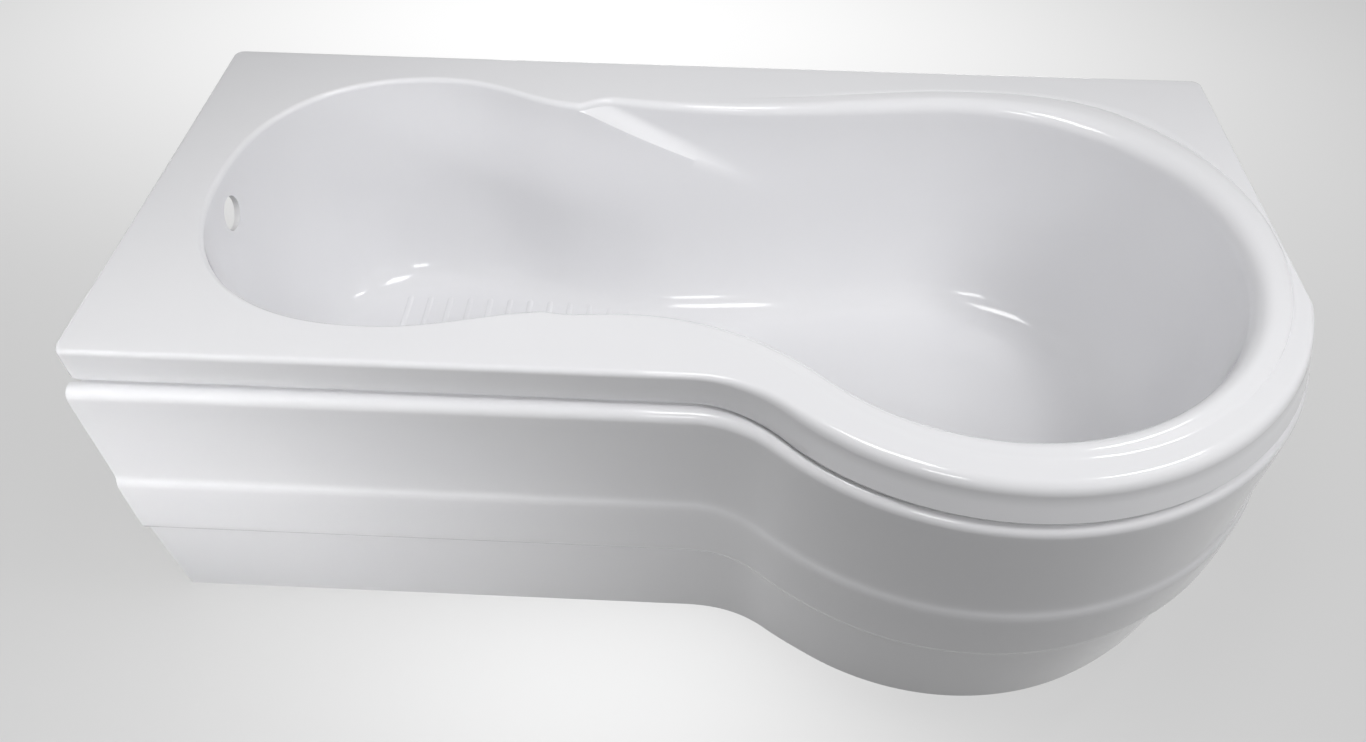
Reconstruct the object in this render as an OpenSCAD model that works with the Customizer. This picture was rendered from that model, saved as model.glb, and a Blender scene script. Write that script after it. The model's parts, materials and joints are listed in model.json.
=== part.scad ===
// P shaped shower bath: moulded shell, separate front panel, timber rim frame and adjustable legs.
// X runs along the bath, tap end at -X and shower end at +X. -Y faces the room, +Y is the wall. Z is up.

/* [Overall] */
// Length between the two end walls
bath_length = 1600; // [1500:10:1800]
// Front to back at the tap end
narrow_width = 700; // [680:5:740]
// Front to back across the bulge
wide_width = 850; // [820:5:880]
// Height of the rim above the floor
rim_height = 530; // [500:5:580]
// Depth of the bowl below the rim
bowl_depth = 370; // [330:5:380]

/* [Plan] */
// Radius of the rim round the bulge
bulge_radius = 425; // [412:1:435]
// Centre of the bulge, from the shower end
bulge_inset = 412; // [400:1:425]
// Radius of the hollow curve from the straight front into the bulge
swing_radius = 178; // [150:1:220]
// Radius of the rim corners
corner_radius = 14; // [8:1:30]
// Width of the rim between the tap end and the bowl
tap_rim = 91; // [80:1:110]
// Width of the rim in front of and behind the bowl at its tap end
side_rim = 69; // [65:1:85]
// Squareness of the bowl at the tap end, 2 for a plain round
tap_power = 2.3; // [2:0.1:2.5]
// Width of the rim in front of the bowl at its waist
waist_rim = 110; // [95:1:125]
// How far the back edge of the bowl bows in at the waist
waist_back = 43; // [20:1:60]
// Radius of the hollow curve of the bowl's front edge from the waist into the bulge
bowl_swing_radius = 347; // [300:1:400]
// Width of the rim round the bulge, in front of the bowl
bulge_rim = 75; // [70:1:90]
// Least width of the rim between the bowl and the shower end
end_rim = 62; // [60:1:80]
// Width of the rim behind the bowl in the bulge
back_rim = 93; // [80:1:110]

/* [Shell] */
// Thickness of the acrylic with its reinforcement
shell_thickness = 5; // [4:0.5:7]
// Height of the front apron of the rim
apron_height = 52; // [45:1:60]
// Rounding of the rim edge along the straight front
edge_radius = 8; // [7:1:12]
// Rounding of the rim edge round the bulge
bulge_edge_radius = 18; // [12:1:22]
// How far the apron leans out round the bulge
apron_lean = 12; // [0:1:14]
// Height of the rolled ring above the rim
ring_height = 7; // [4:1:14]
// Width of the rolled ring where it is widest, at the shower end
ring_width = 64; // [50:1:66]
// Width of the ring where it meets the straight front and back
ring_narrow = 36; // [25:1:46]
// Width of the plain lip at the tap end
lip_width = 14; // [10:1:20]
// How far the bowl walls run in from rim to floor
wall_run = 110; // [90:5:120]
// Squareness of the bend between wall and floor
wall_power = 2.6; // [2:0.1:3.5]
// Depth of the armrest moulded into the back wall
armrest_back = 28; // [10:1:34]
// Depth of the armrest moulded into the front wall
armrest_front = 10; // [4:1:20]

/* [Waste and overflow] */
// Diameter of the waste hole
waste_diameter = 52; // [48:1:60]
// Waste hole from the tap end
waste_inset = 280; // [270:5:300]
// Diameter of the overflow hole
overflow_diameter = 52; // [48:1:60]
// Overflow hole centre below the rim
overflow_drop = 62; // [58:1:90]
// Width of the flat pad left round each hole
pad_margin = 17; // [12:1:20]
// Extra thickness of the pads behind each hole
pad_thickness = 4; // [3:0.5:8]

/* [Panel] */
// Thickness of the panel moulding
panel_thickness = 4; // [3:0.5:5]
// How far the panel face stands out from the rim
panel_stand = 20; // [16:1:24]
// Height of the gap between apron and panel ledge
panel_gap = 5; // [3:1:10]
// How far the raised band stands out from the panel face
band_stand = 7; // [4:1:10]
// Top of the raised band above the floor
band_top = 296; // [280:1:310]
// Bottom of the raised band above the floor
band_bottom = 183; // [170:1:200]
// How far the panel foot draws in along its straight part
foot_draw = 16; // [8:1:20]
// How far it draws in further round the bulge
bulge_draw = 16; // [0:1:26]
// Gap between the panel flange and the rim battens above it
flange_gap = 5; // [3:1:12]

/* [Timber] */
// Width of the rim battens
batten_width = 30; // [25:1:30]
// Thickness of the rim battens
batten_thickness = 20; // [18:1:22]
// Thickness of the board under the floor of the bowl
board_thickness = 18; // [15:1:22]
// Thickness of the batten behind the panel foot
foot_batten_thickness = 22; // [18:1:25]
// Height of the batten behind the panel foot
foot_batten_height = 38; // [30:1:45]

/* [Legs] */
// Narrow end leg rail, from the tap end
narrow_rail_inset = 410; // [400:5:440]
// Wide end leg rail, from the shower end
wide_rail_inset = 370; // [330:5:400]
// Width of the leg rails
rail_width = 45; // [40:1:50]
// Height of the leg rails
rail_height = 25; // [20:1:30]
// Steel thickness of rails and brackets
steel = 2.5; // [2:0.5:3]
// Diameter of the threaded rods
rod_diameter = 12; // [10:1:14]
// Clearance of a rod in its nuts and foot
thread_clearance = 0.05; // [0.02:0.01:0.1]
// Clearance of a rod in the steel
rod_clearance = 1; // [0.5:0.25:2]
// Across flats of the rod nuts
nut_flats = 19; // [18:1:22]
// Height of the rod nuts
nut_height = 10; // [8:1:12]
// Diameter of the feet
foot_diameter = 56; // [50:2:60]
// Height of the feet
foot_height = 20; // [16:1:25]
// Longest way a foot screws out
foot_out = 25; // [20:1:30]
// Longest way a foot screws in
foot_in = 15; // [10:1:15]

/* [Hidden] */
$fn = 64;

// Walls and main levels, with Y centred between the wall and the front of the band
wall_y = (wide_width + panel_stand + band_stand) / 2;
left_x = -bath_length / 2;
right_x = bath_length / 2;
floor_z = rim_height - bowl_depth;
shell_foot_z = floor_z - shell_thickness;
board_foot_z = shell_foot_z - board_thickness;
rail_foot_z = board_foot_z - rail_height;
batten_top_z = rim_height - shell_thickness;
batten_foot_z = batten_top_z - batten_thickness;
apron_foot_z = rim_height - apron_height;
ledge_z = apron_foot_z - panel_gap;
lip_foot_z = batten_foot_z;
// How far a cutting solid runs past the face it opens
over = 1;

// Centres of the two round ends of the bowl, and how far its edge is from them
tap_radius = narrow_width / 2 - side_rim;
tap_centre = [left_x + tap_rim + tap_radius, wall_y - narrow_width / 2];
bulge_centre = [right_x - bulge_inset, wall_y - wide_width + bulge_radius];
bowl_radius = bulge_radius - bulge_rim;
bowl_end = bulge_inset - end_rim;
bowl_back_reach = wide_width - bulge_radius - back_rim;
waist_front = narrow_width - waist_rim;

function ease(t) = let (c = max(0, min(1, t))) c * c * (3 - 2 * c);
function mix(a, b, t) = a + (b - a) * t;
function heading(a) = [cos(a), sin(a)];
function steps(a, b, n) = [for (i = [0:n - 1]) mix(a, b, i / n)];
function signed(a) = a > 180 ? a - 360 : a;

// The front line of a P: straight at distance w from the wall, then an arc of radius c tangent to it and
// to the round of radius r about the bulge centre. The arc starts at swing_lead before that centre.
function swing_lead(w, r, c) = sqrt((r + c) ^ 2 - (c + w - (wall_y - bulge_centre.y)) ^ 2);
function p_front(x, w, r, c) = let (lead = swing_lead(w, r, c), d = x - bulge_centre.x)
    d <= -lead ? wall_y - w
    : d < -lead * r / (r + c) ? wall_y - w - c + sqrt(c ^ 2 - (d + lead) ^ 2)
    : bulge_centre.y - sqrt(r ^ 2 - d ^ 2);
swing_x = bulge_centre.x - swing_lead(narrow_width, bulge_radius, swing_radius);
bowl_swing_x = bulge_centre.x - swing_lead(waist_front, bowl_radius, bowl_swing_radius);

// How much of the bulge has been reached at x, from 0 on the straight front to 1 on the round
function bulge_share(x) = ease((x - swing_x) / (bulge_centre.x - bulge_radius / 2 - swing_x));

// Distance along a ray to a rounded corner whose square point is at c from the ray's start
function corner_reach(c, h) =
    let (m = [c.x - sign(c.x) * corner_radius, c.y - sign(c.y) * corner_radius], k = m * h)
    k + sqrt(max(0, corner_radius ^ 2 - m * m + k ^ 2));
// Distance along a ray to a rectangle side, or to the rounded corner where the ray meets that
function square_reach(c, a) =
    let (h = heading(a), side = c.y * h.y > 0 ? min(c.x / h.x, c.y / h.y) : c.x / h.x, p = side * h,
        near_x = abs(c.x - p.x) < corner_radius, near_y = abs(c.y - p.y) < corner_radius)
    near_x && near_y ? corner_reach(c, h) : side;

// Rim outline: reach of the ray at angle a from its start p
function rim_reach(p, a) =
    p.x <= tap_centre.x && a != 90 && a != 270
        ? square_reach([left_x - p.x, (a < 180 ? wall_y : wall_y - narrow_width) - p.y], a)
    : a == 90 ? wall_y - p.y
    : p.x < bulge_centre.x || a == 270 ? p.y - p_front(p.x, narrow_width, bulge_radius, swing_radius)
    : a > 180 ? min(bulge_radius, (right_x - p.x) / cos(a))
    : square_reach([right_x - p.x, wall_y - p.y], a);

// Bowl outline at the rim, by the same rays. Past heading back_turn it goes over to its reach at the back.
back_turn = 20;
bow_power = 1.4;
function bowl_back(x) = let (s = (x - tap_centre.x) / (bulge_centre.x - tap_centre.x))
    wall_y - mix(side_rim, back_rim, s) - waist_back * pow(sin(180 * s), bow_power);
function bowl_front(x) = let (full = narrow_width / 2 + tap_radius - waist_front)
    p_front(x, waist_front, bowl_radius, bowl_swing_radius)
    - full * (1 - ease((x - tap_centre.x) / (bowl_swing_x - tap_centre.x)));
function tap_reach(a) =
    tap_radius / pow(pow(abs(cos(a)), tap_power) + pow(abs(sin(a)), tap_power), 1 / tap_power);
function bowl_reach(p, a) =
    p.x <= tap_centre.x && a != 90 && a != 270 ? tap_reach(a)
    : p.x < bulge_centre.x && a == 90 ? bowl_back(p.x) - p.y
    : p.x < bulge_centre.x ? p.y - bowl_front(p.x)
    : let (reach = mix(bowl_radius, bowl_back_reach, ease((signed(a) - back_turn) / (90 - back_turn))))
        abs(signed(a)) < 90 ? min(reach, bowl_end / cos(a)) : reach;

// Rays: from the tap centre round the tap end, along the front, round the bulge and back by the wall.
// corner_a and corner_b are the headings of the square corners. corner_c is where the round of the bulge
// meets the end wall, or its side where it stops short of that wall.
front_rays = 20;
back_rays = 26;
back_crowding = 1.4;
corner_a = atan2(narrow_width / 2, tap_centre.x - left_x);
corner_b = atan2(wall_y - bulge_centre.y, bulge_inset);
corner_c = -acos(min(1, bulge_inset / bulge_radius));
corner_turn = 1.6;
tap_headings = concat(
    steps(90, 180 - corner_a - corner_turn, 6),
    steps(180 - corner_a - corner_turn, 180 - corner_a + corner_turn, 4),
    steps(180 - corner_a + corner_turn, 180 + corner_a - corner_turn, 10),
    steps(180 + corner_a - corner_turn, 180 + corner_a + corner_turn, 4),
    steps(180 + corner_a + corner_turn, 270, 6));
bulge_headings = concat(
    steps(270, 360 + corner_c, 12),
    [corner_c],
    steps(corner_c + corner_turn / 2, corner_b - corner_turn, 7),
    steps(corner_b - corner_turn, corner_b + corner_turn, 4),
    steps(corner_b + corner_turn, 90, 5));
rays = concat(
    [for (a = tap_headings) [tap_centre, a]],
    [for (s = steps(0, 1, front_rays)) [mix(tap_centre, bulge_centre, s), 270]],
    [for (a = bulge_headings) [bulge_centre, a]],
    [for (s = steps(0, 1, back_rays)) [mix(bulge_centre, tap_centre, 1 - pow(1 - s, back_crowding)), 90]]);

// How much of the soft edge, of the ring's height and of its width a ray has, and where the front is
end_turn = 40;
ring_back_share = 0.25;
ring_front_share = 0.5;
ring_rise_turn = 60;
widen_from = -60;
widen_to = 40;
narrow_from = 50;
function is_front(p, a) = a > 180 + corner_a - corner_turn / 2 || (a < 0 && a <= corner_c);
function rim_x(p, a) = p.x + (p.x < bulge_centre.x ? 0 : bulge_radius);
function edge_share(p, a) = p.x < bulge_centre.x ? bulge_share(p.x)
    : a < 0 ? 0 : 1 - ease((a - 360 - corner_c + end_turn) / end_turn);
function past_swing(x) = ease((x - swing_x) / (bulge_centre.x - swing_x));
function ring_share(p, a) =
    p.x < bulge_centre.x ? past_swing(p.x) * (a == 90 ? ring_back_share : ring_front_share)
    : a > 180 ? mix(ring_front_share, 1, ease((a - 270) / ring_rise_turn))
    : mix(1, ring_back_share, ease((a - back_turn) / (90 - back_turn)));
function lip_share(p) = ease((p.x - tap_centre.x) / (bulge_centre.x - tap_centre.x));
function roll_width(p, a) = p.x < bulge_centre.x ? mix(lip_width, ring_narrow, lip_share(p))
    : mix(ring_narrow, ring_width, ease((signed(a) - widen_from) / (widen_to - widen_from))
        * (1 - ease((signed(a) - narrow_from) / (90 - narrow_from))));

// The armrest: the wall below a slanting line stands in, from rest_lead to rest_length past the tap centre
rest_lead = 30;
rest_full = 200;
rest_length = 550;
rest_soft = 26;
rest_fall = 150;
rest_slope = 0.47;
rest_rise = 14;
rest_top_gap = 3;
rest_top_share = 0.8;
function rest_depth(x) = let (d = x - tap_centre.x)
    d < rest_full ? ease((d - rest_lead) / (rest_full - rest_lead))
    : 1 - ease((d - rest_full) / (rest_length - rest_full));
function rest_line(x) = rim_height + rest_rise - rest_slope * max(0, x - tap_centre.x - rest_full);
function rest_in(p, a, z) = (p.x <= tap_centre.x || p.x >= bulge_centre.x) ? 0
    : (a == 90 ? armrest_back : armrest_front) * rest_depth(p.x)
        * pow(max(0, min(1, (rest_line(p.x) - z) / rest_soft + 0.5)), 2);

// Section of the shell along a ray, as [distance, height] from the apron foot over the rim to the floor
lip_drop = 8;
ring_drop = 20;
bend_steps = 8;
edge_steps = 3;
lip_steps = 4;
apron_bevel = 4;
wall_edge_radius = edge_radius - 1;
least_flat = 1;
flat_share = 0.85;
spine_gap = 60;
function shell_section(p, a) =
    let (drop = mix(lip_drop, ring_drop, lip_share(p)), top = rim_height - drop,
        ro = rim_reach(p, a), edge = bowl_reach(p, a), ri = edge - rest_in(p, a, top),
        front = is_front(p, a), b = front ? edge_share(p, a) : 0,
        er = front ? mix(edge_radius, bulge_edge_radius, b) : wall_edge_radius,
        foot = front ? apron_foot_z : lip_foot_z, lean = front ? apron_lean * bulge_share(rim_x(p, a)) : 0,
        rise = ring_height * ring_share(p, a),
        w = min(roll_width(p, a), ro - er - ri - least_flat),
        crest = ri + w / 2, crease = ri + w,
        fold = max(rim_height - rest_fall - rest_soft,
            min(top - rest_top_gap, rest_line(p.x) - rest_soft / 2)),
        fold_rise = min(rest_soft, (top - fold) * rest_top_share))
    concat(
        [[ro + lean - apron_bevel / 2, foot], [ro + lean, foot + apron_bevel]],
        [for (i = [0:edge_steps]) let (t = 90 * i / edge_steps)
            [ro - er * (1 - cos(t)), rim_height - er * (1 - sin(t))]],
        [[mix(ro - er, crease, flat_share), rim_height]],
        [for (t = [0, 25, 55])
            [crest + w / 2 * cos(t), rim_height + rise * mix(sin(t) ^ 2, ease(1 - cos(t)), b)]],
        [for (i = [0:lip_steps - 1]) let (t = 90 * i / lip_steps)
            [crest - w / 2 * sin(t), rim_height + rise - (rise + drop) * (1 - cos(t))]],
        [for (z = concat([top, fold + fold_rise, fold + fold_rise / 2, fold], [for (i = [1:bend_steps])
            mix(fold, floor_z, sin(90 * i / bend_steps))])) let (y = (top - z) / (top - floor_z))
            [edge - wall_run
                + (wall_run - rest_in(p, a, z)) * pow(max(0, 1 - pow(y, wall_power)), 1 / wall_power), z]],
        [[spine_gap, floor_z]]);

function turn_left(v) = [-v.y, v.x] / norm(v);
// The same section set back by t on the hidden side
function set_back(s, t) = [for (j = [0:len(s) - 1])
    s[j] + t * turn_left(s[min(j + 1, len(s) - 1)] - s[max(j - 1, 0)])];
function place(p, a, s) = let (h = heading(a)) [for (q = s)
    [max(left_x, min(right_x, p.x + h.x * q.x)), min(wall_y, p.y + h.y * q.x), q.y]];

// A closed skin from two grids of points, n rows of m, joined round their edges
module skin(front, back, closed) {
    n = len(front);
    m = len(front[0]);
    rows = closed ? n : n - 1;
    f = function (i, j) (i % n) * m + j;
    g = function (i, j) n * m + (i % n) * m + j;
    polyhedron(
        points = concat([for (r = front) each r], [for (r = back) each r]),
        faces = concat(
            [for (i = [0:rows - 1], j = [0:m - 2]) each [[f(i, j), f(i, j + 1), f(i + 1, j + 1)],
                [f(i, j), f(i + 1, j + 1), f(i + 1, j)]]],
            [for (i = [0:rows - 1], j = [0:m - 2]) each [[g(i, j), g(i + 1, j + 1), g(i, j + 1)],
                [g(i, j), g(i + 1, j), g(i + 1, j + 1)]]],
            [for (i = [0:rows - 1]) each [[f(i, 0), f(i + 1, 0), g(i + 1, 0)],
                [f(i, 0), g(i + 1, 0), g(i, 0)]]],
            closed ? [[for (i = [n - 1:-1:0]) f(i, m - 1)], [for (i = [0:n - 1]) g(i, m - 1)]]
                : concat([for (i = [0:rows - 1]) each [[f(i, m - 1), g(i + 1, m - 1), f(i + 1, m - 1)],
                    [f(i, m - 1), g(i, m - 1), g(i + 1, m - 1)]]],
                    [for (j = [0:m - 2]) each [[f(0, j), g(0, j), g(0, j + 1)],
                        [f(0, j), g(0, j + 1), f(0, j + 1)]]],
                    [for (j = [0:m - 2]) each [[f(n - 1, j), g(n - 1, j + 1), g(n - 1, j)],
                        [f(n - 1, j), f(n - 1, j + 1), g(n - 1, j + 1)]]])));
}

overflow_z = rim_height - overflow_drop;
overflow_x = tap_centre.x - tap_radius;
waste_at = [left_x + waste_inset, tap_centre.y];
// A pad stops short of the bowl's face by pad_cover, and the overflow is cut on past its slanting wall
pad_height = shell_thickness + pad_thickness;
pad_cover = 1;
overflow_run = 12;

module bath_shell() {
    sections = [for (r = rays) shell_section(r[0], r[1])];
    front = [for (i = [0:len(rays) - 1]) place(rays[i][0], rays[i][1], sections[i])];
    back = [for (i = [0:len(rays) - 1])
        place(rays[i][0], rays[i][1], set_back(sections[i], shell_thickness))];
    color("white") difference() {
        union() {
            skin(front, back, true);
            translate([waste_at.x, waste_at.y, shell_foot_z - pad_thickness])
                cylinder(h = pad_height - pad_cover, d = waste_diameter + 2 * pad_margin);
            translate([overflow_x - pad_height, tap_centre.y, overflow_z]) rotate([0, 90, 0])
                cylinder(h = pad_height - pad_cover, d = overflow_diameter + 2 * pad_margin);
        }
        translate([waste_at.x, waste_at.y, shell_foot_z - pad_thickness - over])
            cylinder(h = pad_height + 2 * over, d = waste_diameter);
        translate([overflow_x - pad_height - over, tap_centre.y, overflow_z]) rotate([0, 90, 0])
            cylinder(h = pad_height + overflow_run, d = overflow_diameter);
    }
}

// Front panel: plan point at share s of the way along the panel, at offset o out from the rim line
end_gap = 2;
panel_left_x = left_x + end_gap;
swing_centre = [swing_x, wall_y - narrow_width - swing_radius];
swing_angle = atan2(bulge_centre.y - swing_centre.y, bulge_centre.x - swing_centre.x);
function straight_point(x, o) = [max(x, left_x + (o < 0 ? corner_radius + end_gap : end_gap)),
    wall_y - narrow_width - o];
function swing_point(a, o) = swing_centre + (swing_radius - o) * heading(a);
function bulge_point(s, o, draw) =
    let (a = -acos(min(1, (bulge_inset - end_gap) / (bulge_radius + max(0, o)))))
    bulge_centre + (bulge_radius + o - draw) * heading(mix(swing_angle - 180, a, s));

// Panel section from the foot up over the band and the ledge to the flange, as [offset, height]
ledge_round = 10;
step_rise = 7;
flange_clearance = 5;
flange_set = shell_thickness + flange_clearance;
flange_top_z = batten_foot_z - flange_gap;
lower_top_z = band_bottom - 2 * step_rise;
lower_inset = 4;
lower_top = panel_stand - lower_inset;
step_foot = 1.5;
band_front = panel_stand + band_stand;
band_bevel = 2;
function lower_face(z) = mix(panel_stand - foot_draw, lower_top, z / lower_top_z);
panel_section = concat(
    [[lower_face(0), 0], [lower_top, lower_top_z]],
    [[lower_top + step_foot, band_bottom - step_rise / 2]],
    [[band_front - band_bevel, band_bottom + step_rise / 2]],
    [[band_front, band_bottom + 2 * step_rise], [band_front, band_top - 2 * step_rise]],
    [[band_front - band_bevel, band_top - step_rise / 2], [panel_stand + 1, band_top + step_rise / 2]],
    [[panel_stand, band_top + 2 * step_rise]],
    [for (t = [0, 30, 60, 90])
        [panel_stand - ledge_round * (1 - cos(t)), ledge_z - ledge_round * (1 - sin(t))]],
    [[panel_thickness - flange_set, ledge_z], [-flange_set, ledge_z + panel_thickness]],
    [[-flange_set, flange_top_z]]);
panel_turns = 36;
draw_fade = 0.6;
function draw_in(b, z) = bulge_draw * b * max(0, 1 - z / (band_top - 2 * step_rise));
function panel_row(point, b, s) = [for (q = s) let (p = point(q.x, draw_in(b, q.y))) [p.x, p.y, q.y]];
function end_share(t) = t > draw_fade ? 1 - ease((t - draw_fade) / (1 - draw_fade))
    : bulge_share(bulge_point(t, 0, 0).x);
function panel_rows(s) = concat(
    [for (x = steps(panel_left_x, swing_x, 6)) panel_row(function (o, d) straight_point(x, o), 0, s)],
    [for (a = steps(90, swing_angle, 10)) panel_row(function (o, d) swing_point(a, o - d),
        bulge_share(swing_x + swing_radius * cos(a)), s)],
    [for (i = [0:panel_turns]) let (t = i / panel_turns)
        panel_row(function (o, d) bulge_point(t, o, d), end_share(t), s)]);

module front_panel() {
    back_section = set_back(panel_section, panel_thickness);
    color("white") skin(panel_rows(panel_section), panel_rows(back_section), false);
}

// Timber
board_inset = 20;
board_clearance = 4;
board_centre = bulge_centre + [0, (bowl_back_reach - bowl_radius) / 2];
module base_board() {
    tap_board = tap_radius - wall_run - board_inset;
    bulge_board = (bowl_radius + bowl_back_reach) / 2 - wall_run - board_inset;
    color("burlywood") difference() {
        translate([0, 0, board_foot_z]) linear_extrude(board_thickness) union() {
            translate(tap_centre) circle(tap_board);
            translate(board_centre) circle(bulge_board);
            polygon([tap_centre + [0, tap_board], tap_centre - [0, tap_board],
                board_centre - [0, bulge_board], board_centre + [0, bulge_board]]);
        }
        translate([waste_at.x, waste_at.y, board_foot_z - over])
            cylinder(h = board_thickness + 2 * over, d = waste_diameter + 2 * (pad_margin + board_clearance));
        translate([centre_foot.x, centre_foot.y, board_foot_z - over])
            cylinder(h = board_thickness + 2 * over, d = rod_diameter + 2 * board_clearance);
        for (p = rail_screw_places) pilot(p, board_foot_z);
        for (p = centre_screw_places) pilot(p, board_foot_z);
    }
}

// Battens bonded under the rim, set in from its edge
batten_clearance = 2;
wall_set = shell_thickness + 3.5;
front_set = edge_radius + batten_clearance;
bulge_set = bulge_edge_radius + batten_clearance;
batten_joint = 1;
batten_end = corner_radius + batten_clearance;
shower_batten_start = 44;
end_batten_start_y = wall_y - wall_set - batten_width - batten_joint;
module batten(x, y, dx, dy) {
    translate([x, y, batten_foot_z]) cube([dx, dy, batten_thickness]);
}
module rim_batten_back() {
    color("tan") difference() {
        batten(left_x + batten_end, wall_y - wall_set - batten_width,
            bath_length - 2 * batten_end, batten_width);
        for (x = back_bracket_xs) bracket_pilot([x, wall_y], 0);
    }
}
module rim_batten_tap_end() {
    foot_y = wall_y - narrow_width + front_set + batten_width + batten_joint;
    color("tan") difference() {
        batten(left_x + wall_set, foot_y, batten_width, end_batten_start_y - foot_y);
        bracket_pilot([left_x, tap_bracket_y], 90);
    }
}
module rim_batten_shower_end() {
    foot_y = bulge_centre.y + bulge_radius * sin(corner_c) + shower_batten_start;
    color("tan") difference() {
        batten(right_x - wall_set - batten_width, foot_y, batten_width, end_batten_start_y - foot_y);
        bracket_pilot([right_x, shower_bracket_y], -90);
    }
}
module rim_batten_front() {
    color("tan") difference() {
        batten(left_x + batten_end, wall_y - narrow_width + front_set,
            swing_x - left_x - batten_end, batten_width);
        for (x = clip_xs) clip_place(x) clip_pilot();
    }
}
batten_gap_angle = 4;
batten_start_angle = swing_angle - 180 + batten_gap_angle;
batten_end_angle = corner_c - batten_gap_angle;
module ring_piece(r1, r2, z, h, a1, a2) {
    translate([bulge_centre.x, bulge_centre.y, z]) rotate([0, 0, a1])
        rotate_extrude(angle = a2 - a1, $fn = 128) translate([r1, 0]) square([r2 - r1, h]);
}
module rim_batten_bulge() {
    outer = bulge_radius - bulge_set;
    color("tan") difference() {
        ring_piece(outer - batten_width, outer, batten_foot_z, batten_thickness,
            batten_start_angle, batten_end_angle);
        for (a = clip_angles) clip_turn(a) clip_pilot();
    }
}

// Battens bonded behind the panel foot
bond_line = 0.5;
foot_batten_rise = 6;
foot_start_angle = -110;
foot_batten_z = board_foot_z + foot_batten_rise - foot_batten_height;
foot_batten_face = lower_face(foot_batten_z) - panel_thickness - bond_line;
foot_batten_back = foot_batten_face - foot_batten_thickness;
bulge_batten_back = foot_batten_back - draw_in(1, foot_batten_z);
module panel_foot_batten() {
    color("tan") difference() {
        translate([left_x + batten_end, wall_y - narrow_width - foot_batten_face, foot_batten_z])
            cube([swing_x - left_x - 2 * batten_end, foot_batten_thickness, foot_batten_height]);
        stay_batten_pilot(narrow_rail_x, narrow_stay_y);
    }
}
module panel_foot_batten_bulge() {
    bulge_inner = bulge_radius + bulge_batten_back;
    color("tan") difference() {
        ring_piece(bulge_inner, bulge_inner + foot_batten_thickness - bond_line, foot_batten_z,
            foot_batten_height, foot_start_angle, batten_end_angle);
        stay_batten_pilot(wide_rail_x, wide_stay_y);
    }
}

// Fasteners. A screw starts at the face its head bears on and points up +Z.
screw_d = 4.5;
screw_head_d = 9;
screw_head_h = 2.5;
screw_length = 16;
screw_head_taper = 0.7;
pilot_gap = 0.02;
pilot_spare = 0.5;
hole_gap = 0.3;
module screw() {
    translate([0, 0, -screw_head_h])
        cylinder(h = screw_head_h, d1 = screw_head_d * screw_head_taper, d2 = screw_head_d);
    cylinder(h = screw_length, d = screw_d);
}
module pilot_hole() {
    translate([0, 0, -over]) cylinder(h = screw_length + over + pilot_spare, d = screw_d + 2 * pilot_gap);
}
module steel_hole() {
    translate([0, 0, -steel]) cylinder(h = 3 * steel, d = screw_d + 2 * hole_gap);
}
module pilot(p, z) { translate([p.x, p.y, z]) pilot_hole(); }

// Wall brackets: an angle under the rim batten with its other leg flat on the wall
bracket_width = 40;
bracket_drop = 65;
bracket_screw_d = 6.5;
bracket_reach = wall_set + batten_width;
bracket_screw_in = wall_set + batten_width / 2;
back_bracket_left = 300;
back_bracket_right = 500;
end_bracket_back = 160;
shower_bracket_back = 250;
back_bracket_xs = [left_x + back_bracket_left, right_x - back_bracket_right];
tap_bracket_y = wall_y - end_bracket_back;
shower_bracket_y = wall_y - shower_bracket_back;
bracket_hole_zs = [25, 50];
module at_wall(p, a) { translate([p.x, p.y, batten_foot_z]) rotate([0, 0, a]) children(); }
module bracket_pilot(p, a) { at_wall(p, a) translate([0, -bracket_screw_in, 0]) pilot_hole(); }
module wall_bracket(p, a) {
    color("lightgray") at_wall(p, a) difference() {
        union() {
            translate([-bracket_width / 2, -bracket_reach, -steel])
                cube([bracket_width, bracket_reach, steel]);
            translate([-bracket_width / 2, -steel, -bracket_drop])
                cube([bracket_width, steel, bracket_drop]);
        }
        translate([0, -bracket_screw_in, -steel]) steel_hole();
        for (z = bracket_hole_zs) translate([0, -2 * steel, -z]) rotate([-90, 0, 0])
            cylinder(h = 3 * steel, d = bracket_screw_d);
    }
}
module bracket_screw(p, a) { at_wall(p, a) translate([0, -bracket_screw_in, -steel]) screw(); }
module wall_bracket_screws() {
    color("silver") {
        for (x = back_bracket_xs) bracket_screw([x, wall_y], 0);
        bracket_screw([left_x, tap_bracket_y], 90);
        bracket_screw([right_x, shower_bracket_y], -90);
    }
}

// Panel clips: screwed under the front battens, each with a leg behind the panel flange
clip_width = 30;
clip_reach = 30;
clip_leg = 26;
clip_gap = 1;
clip_set = flange_set + panel_thickness + clip_gap;
clip_hole_in = 12;
clip_screw_in = clip_set + clip_hole_in;
clip_first = 110;
clip_pitch = 310;
clip_last = 60;
clip_xs = [left_x + clip_first, left_x + clip_first + clip_pitch, swing_x - clip_last];
clip_margin_angle = 14;
clip_angles = [batten_start_angle + clip_margin_angle, (batten_start_angle + batten_end_angle) / 2,
    batten_end_angle - clip_margin_angle];
module clip_place(x) { translate([x, wall_y - narrow_width, batten_foot_z]) children(); }
module clip_turn(a) {
    translate([bulge_centre.x, bulge_centre.y, batten_foot_z]) rotate([0, 0, a + 90])
        translate([0, -bulge_radius, 0]) children();
}
module clip_pilot() { translate([0, clip_screw_in, 0]) pilot_hole(); }
module clip() {
    difference() {
        union() {
            translate([-clip_width / 2, clip_set, -steel]) cube([clip_width, clip_reach, steel]);
            translate([-clip_width / 2, clip_set, -clip_leg]) cube([clip_width, steel, clip_leg]);
        }
        translate([0, clip_screw_in, -steel]) steel_hole();
    }
}
module clip_screw() { translate([0, clip_screw_in, -steel]) screw(); }
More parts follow.
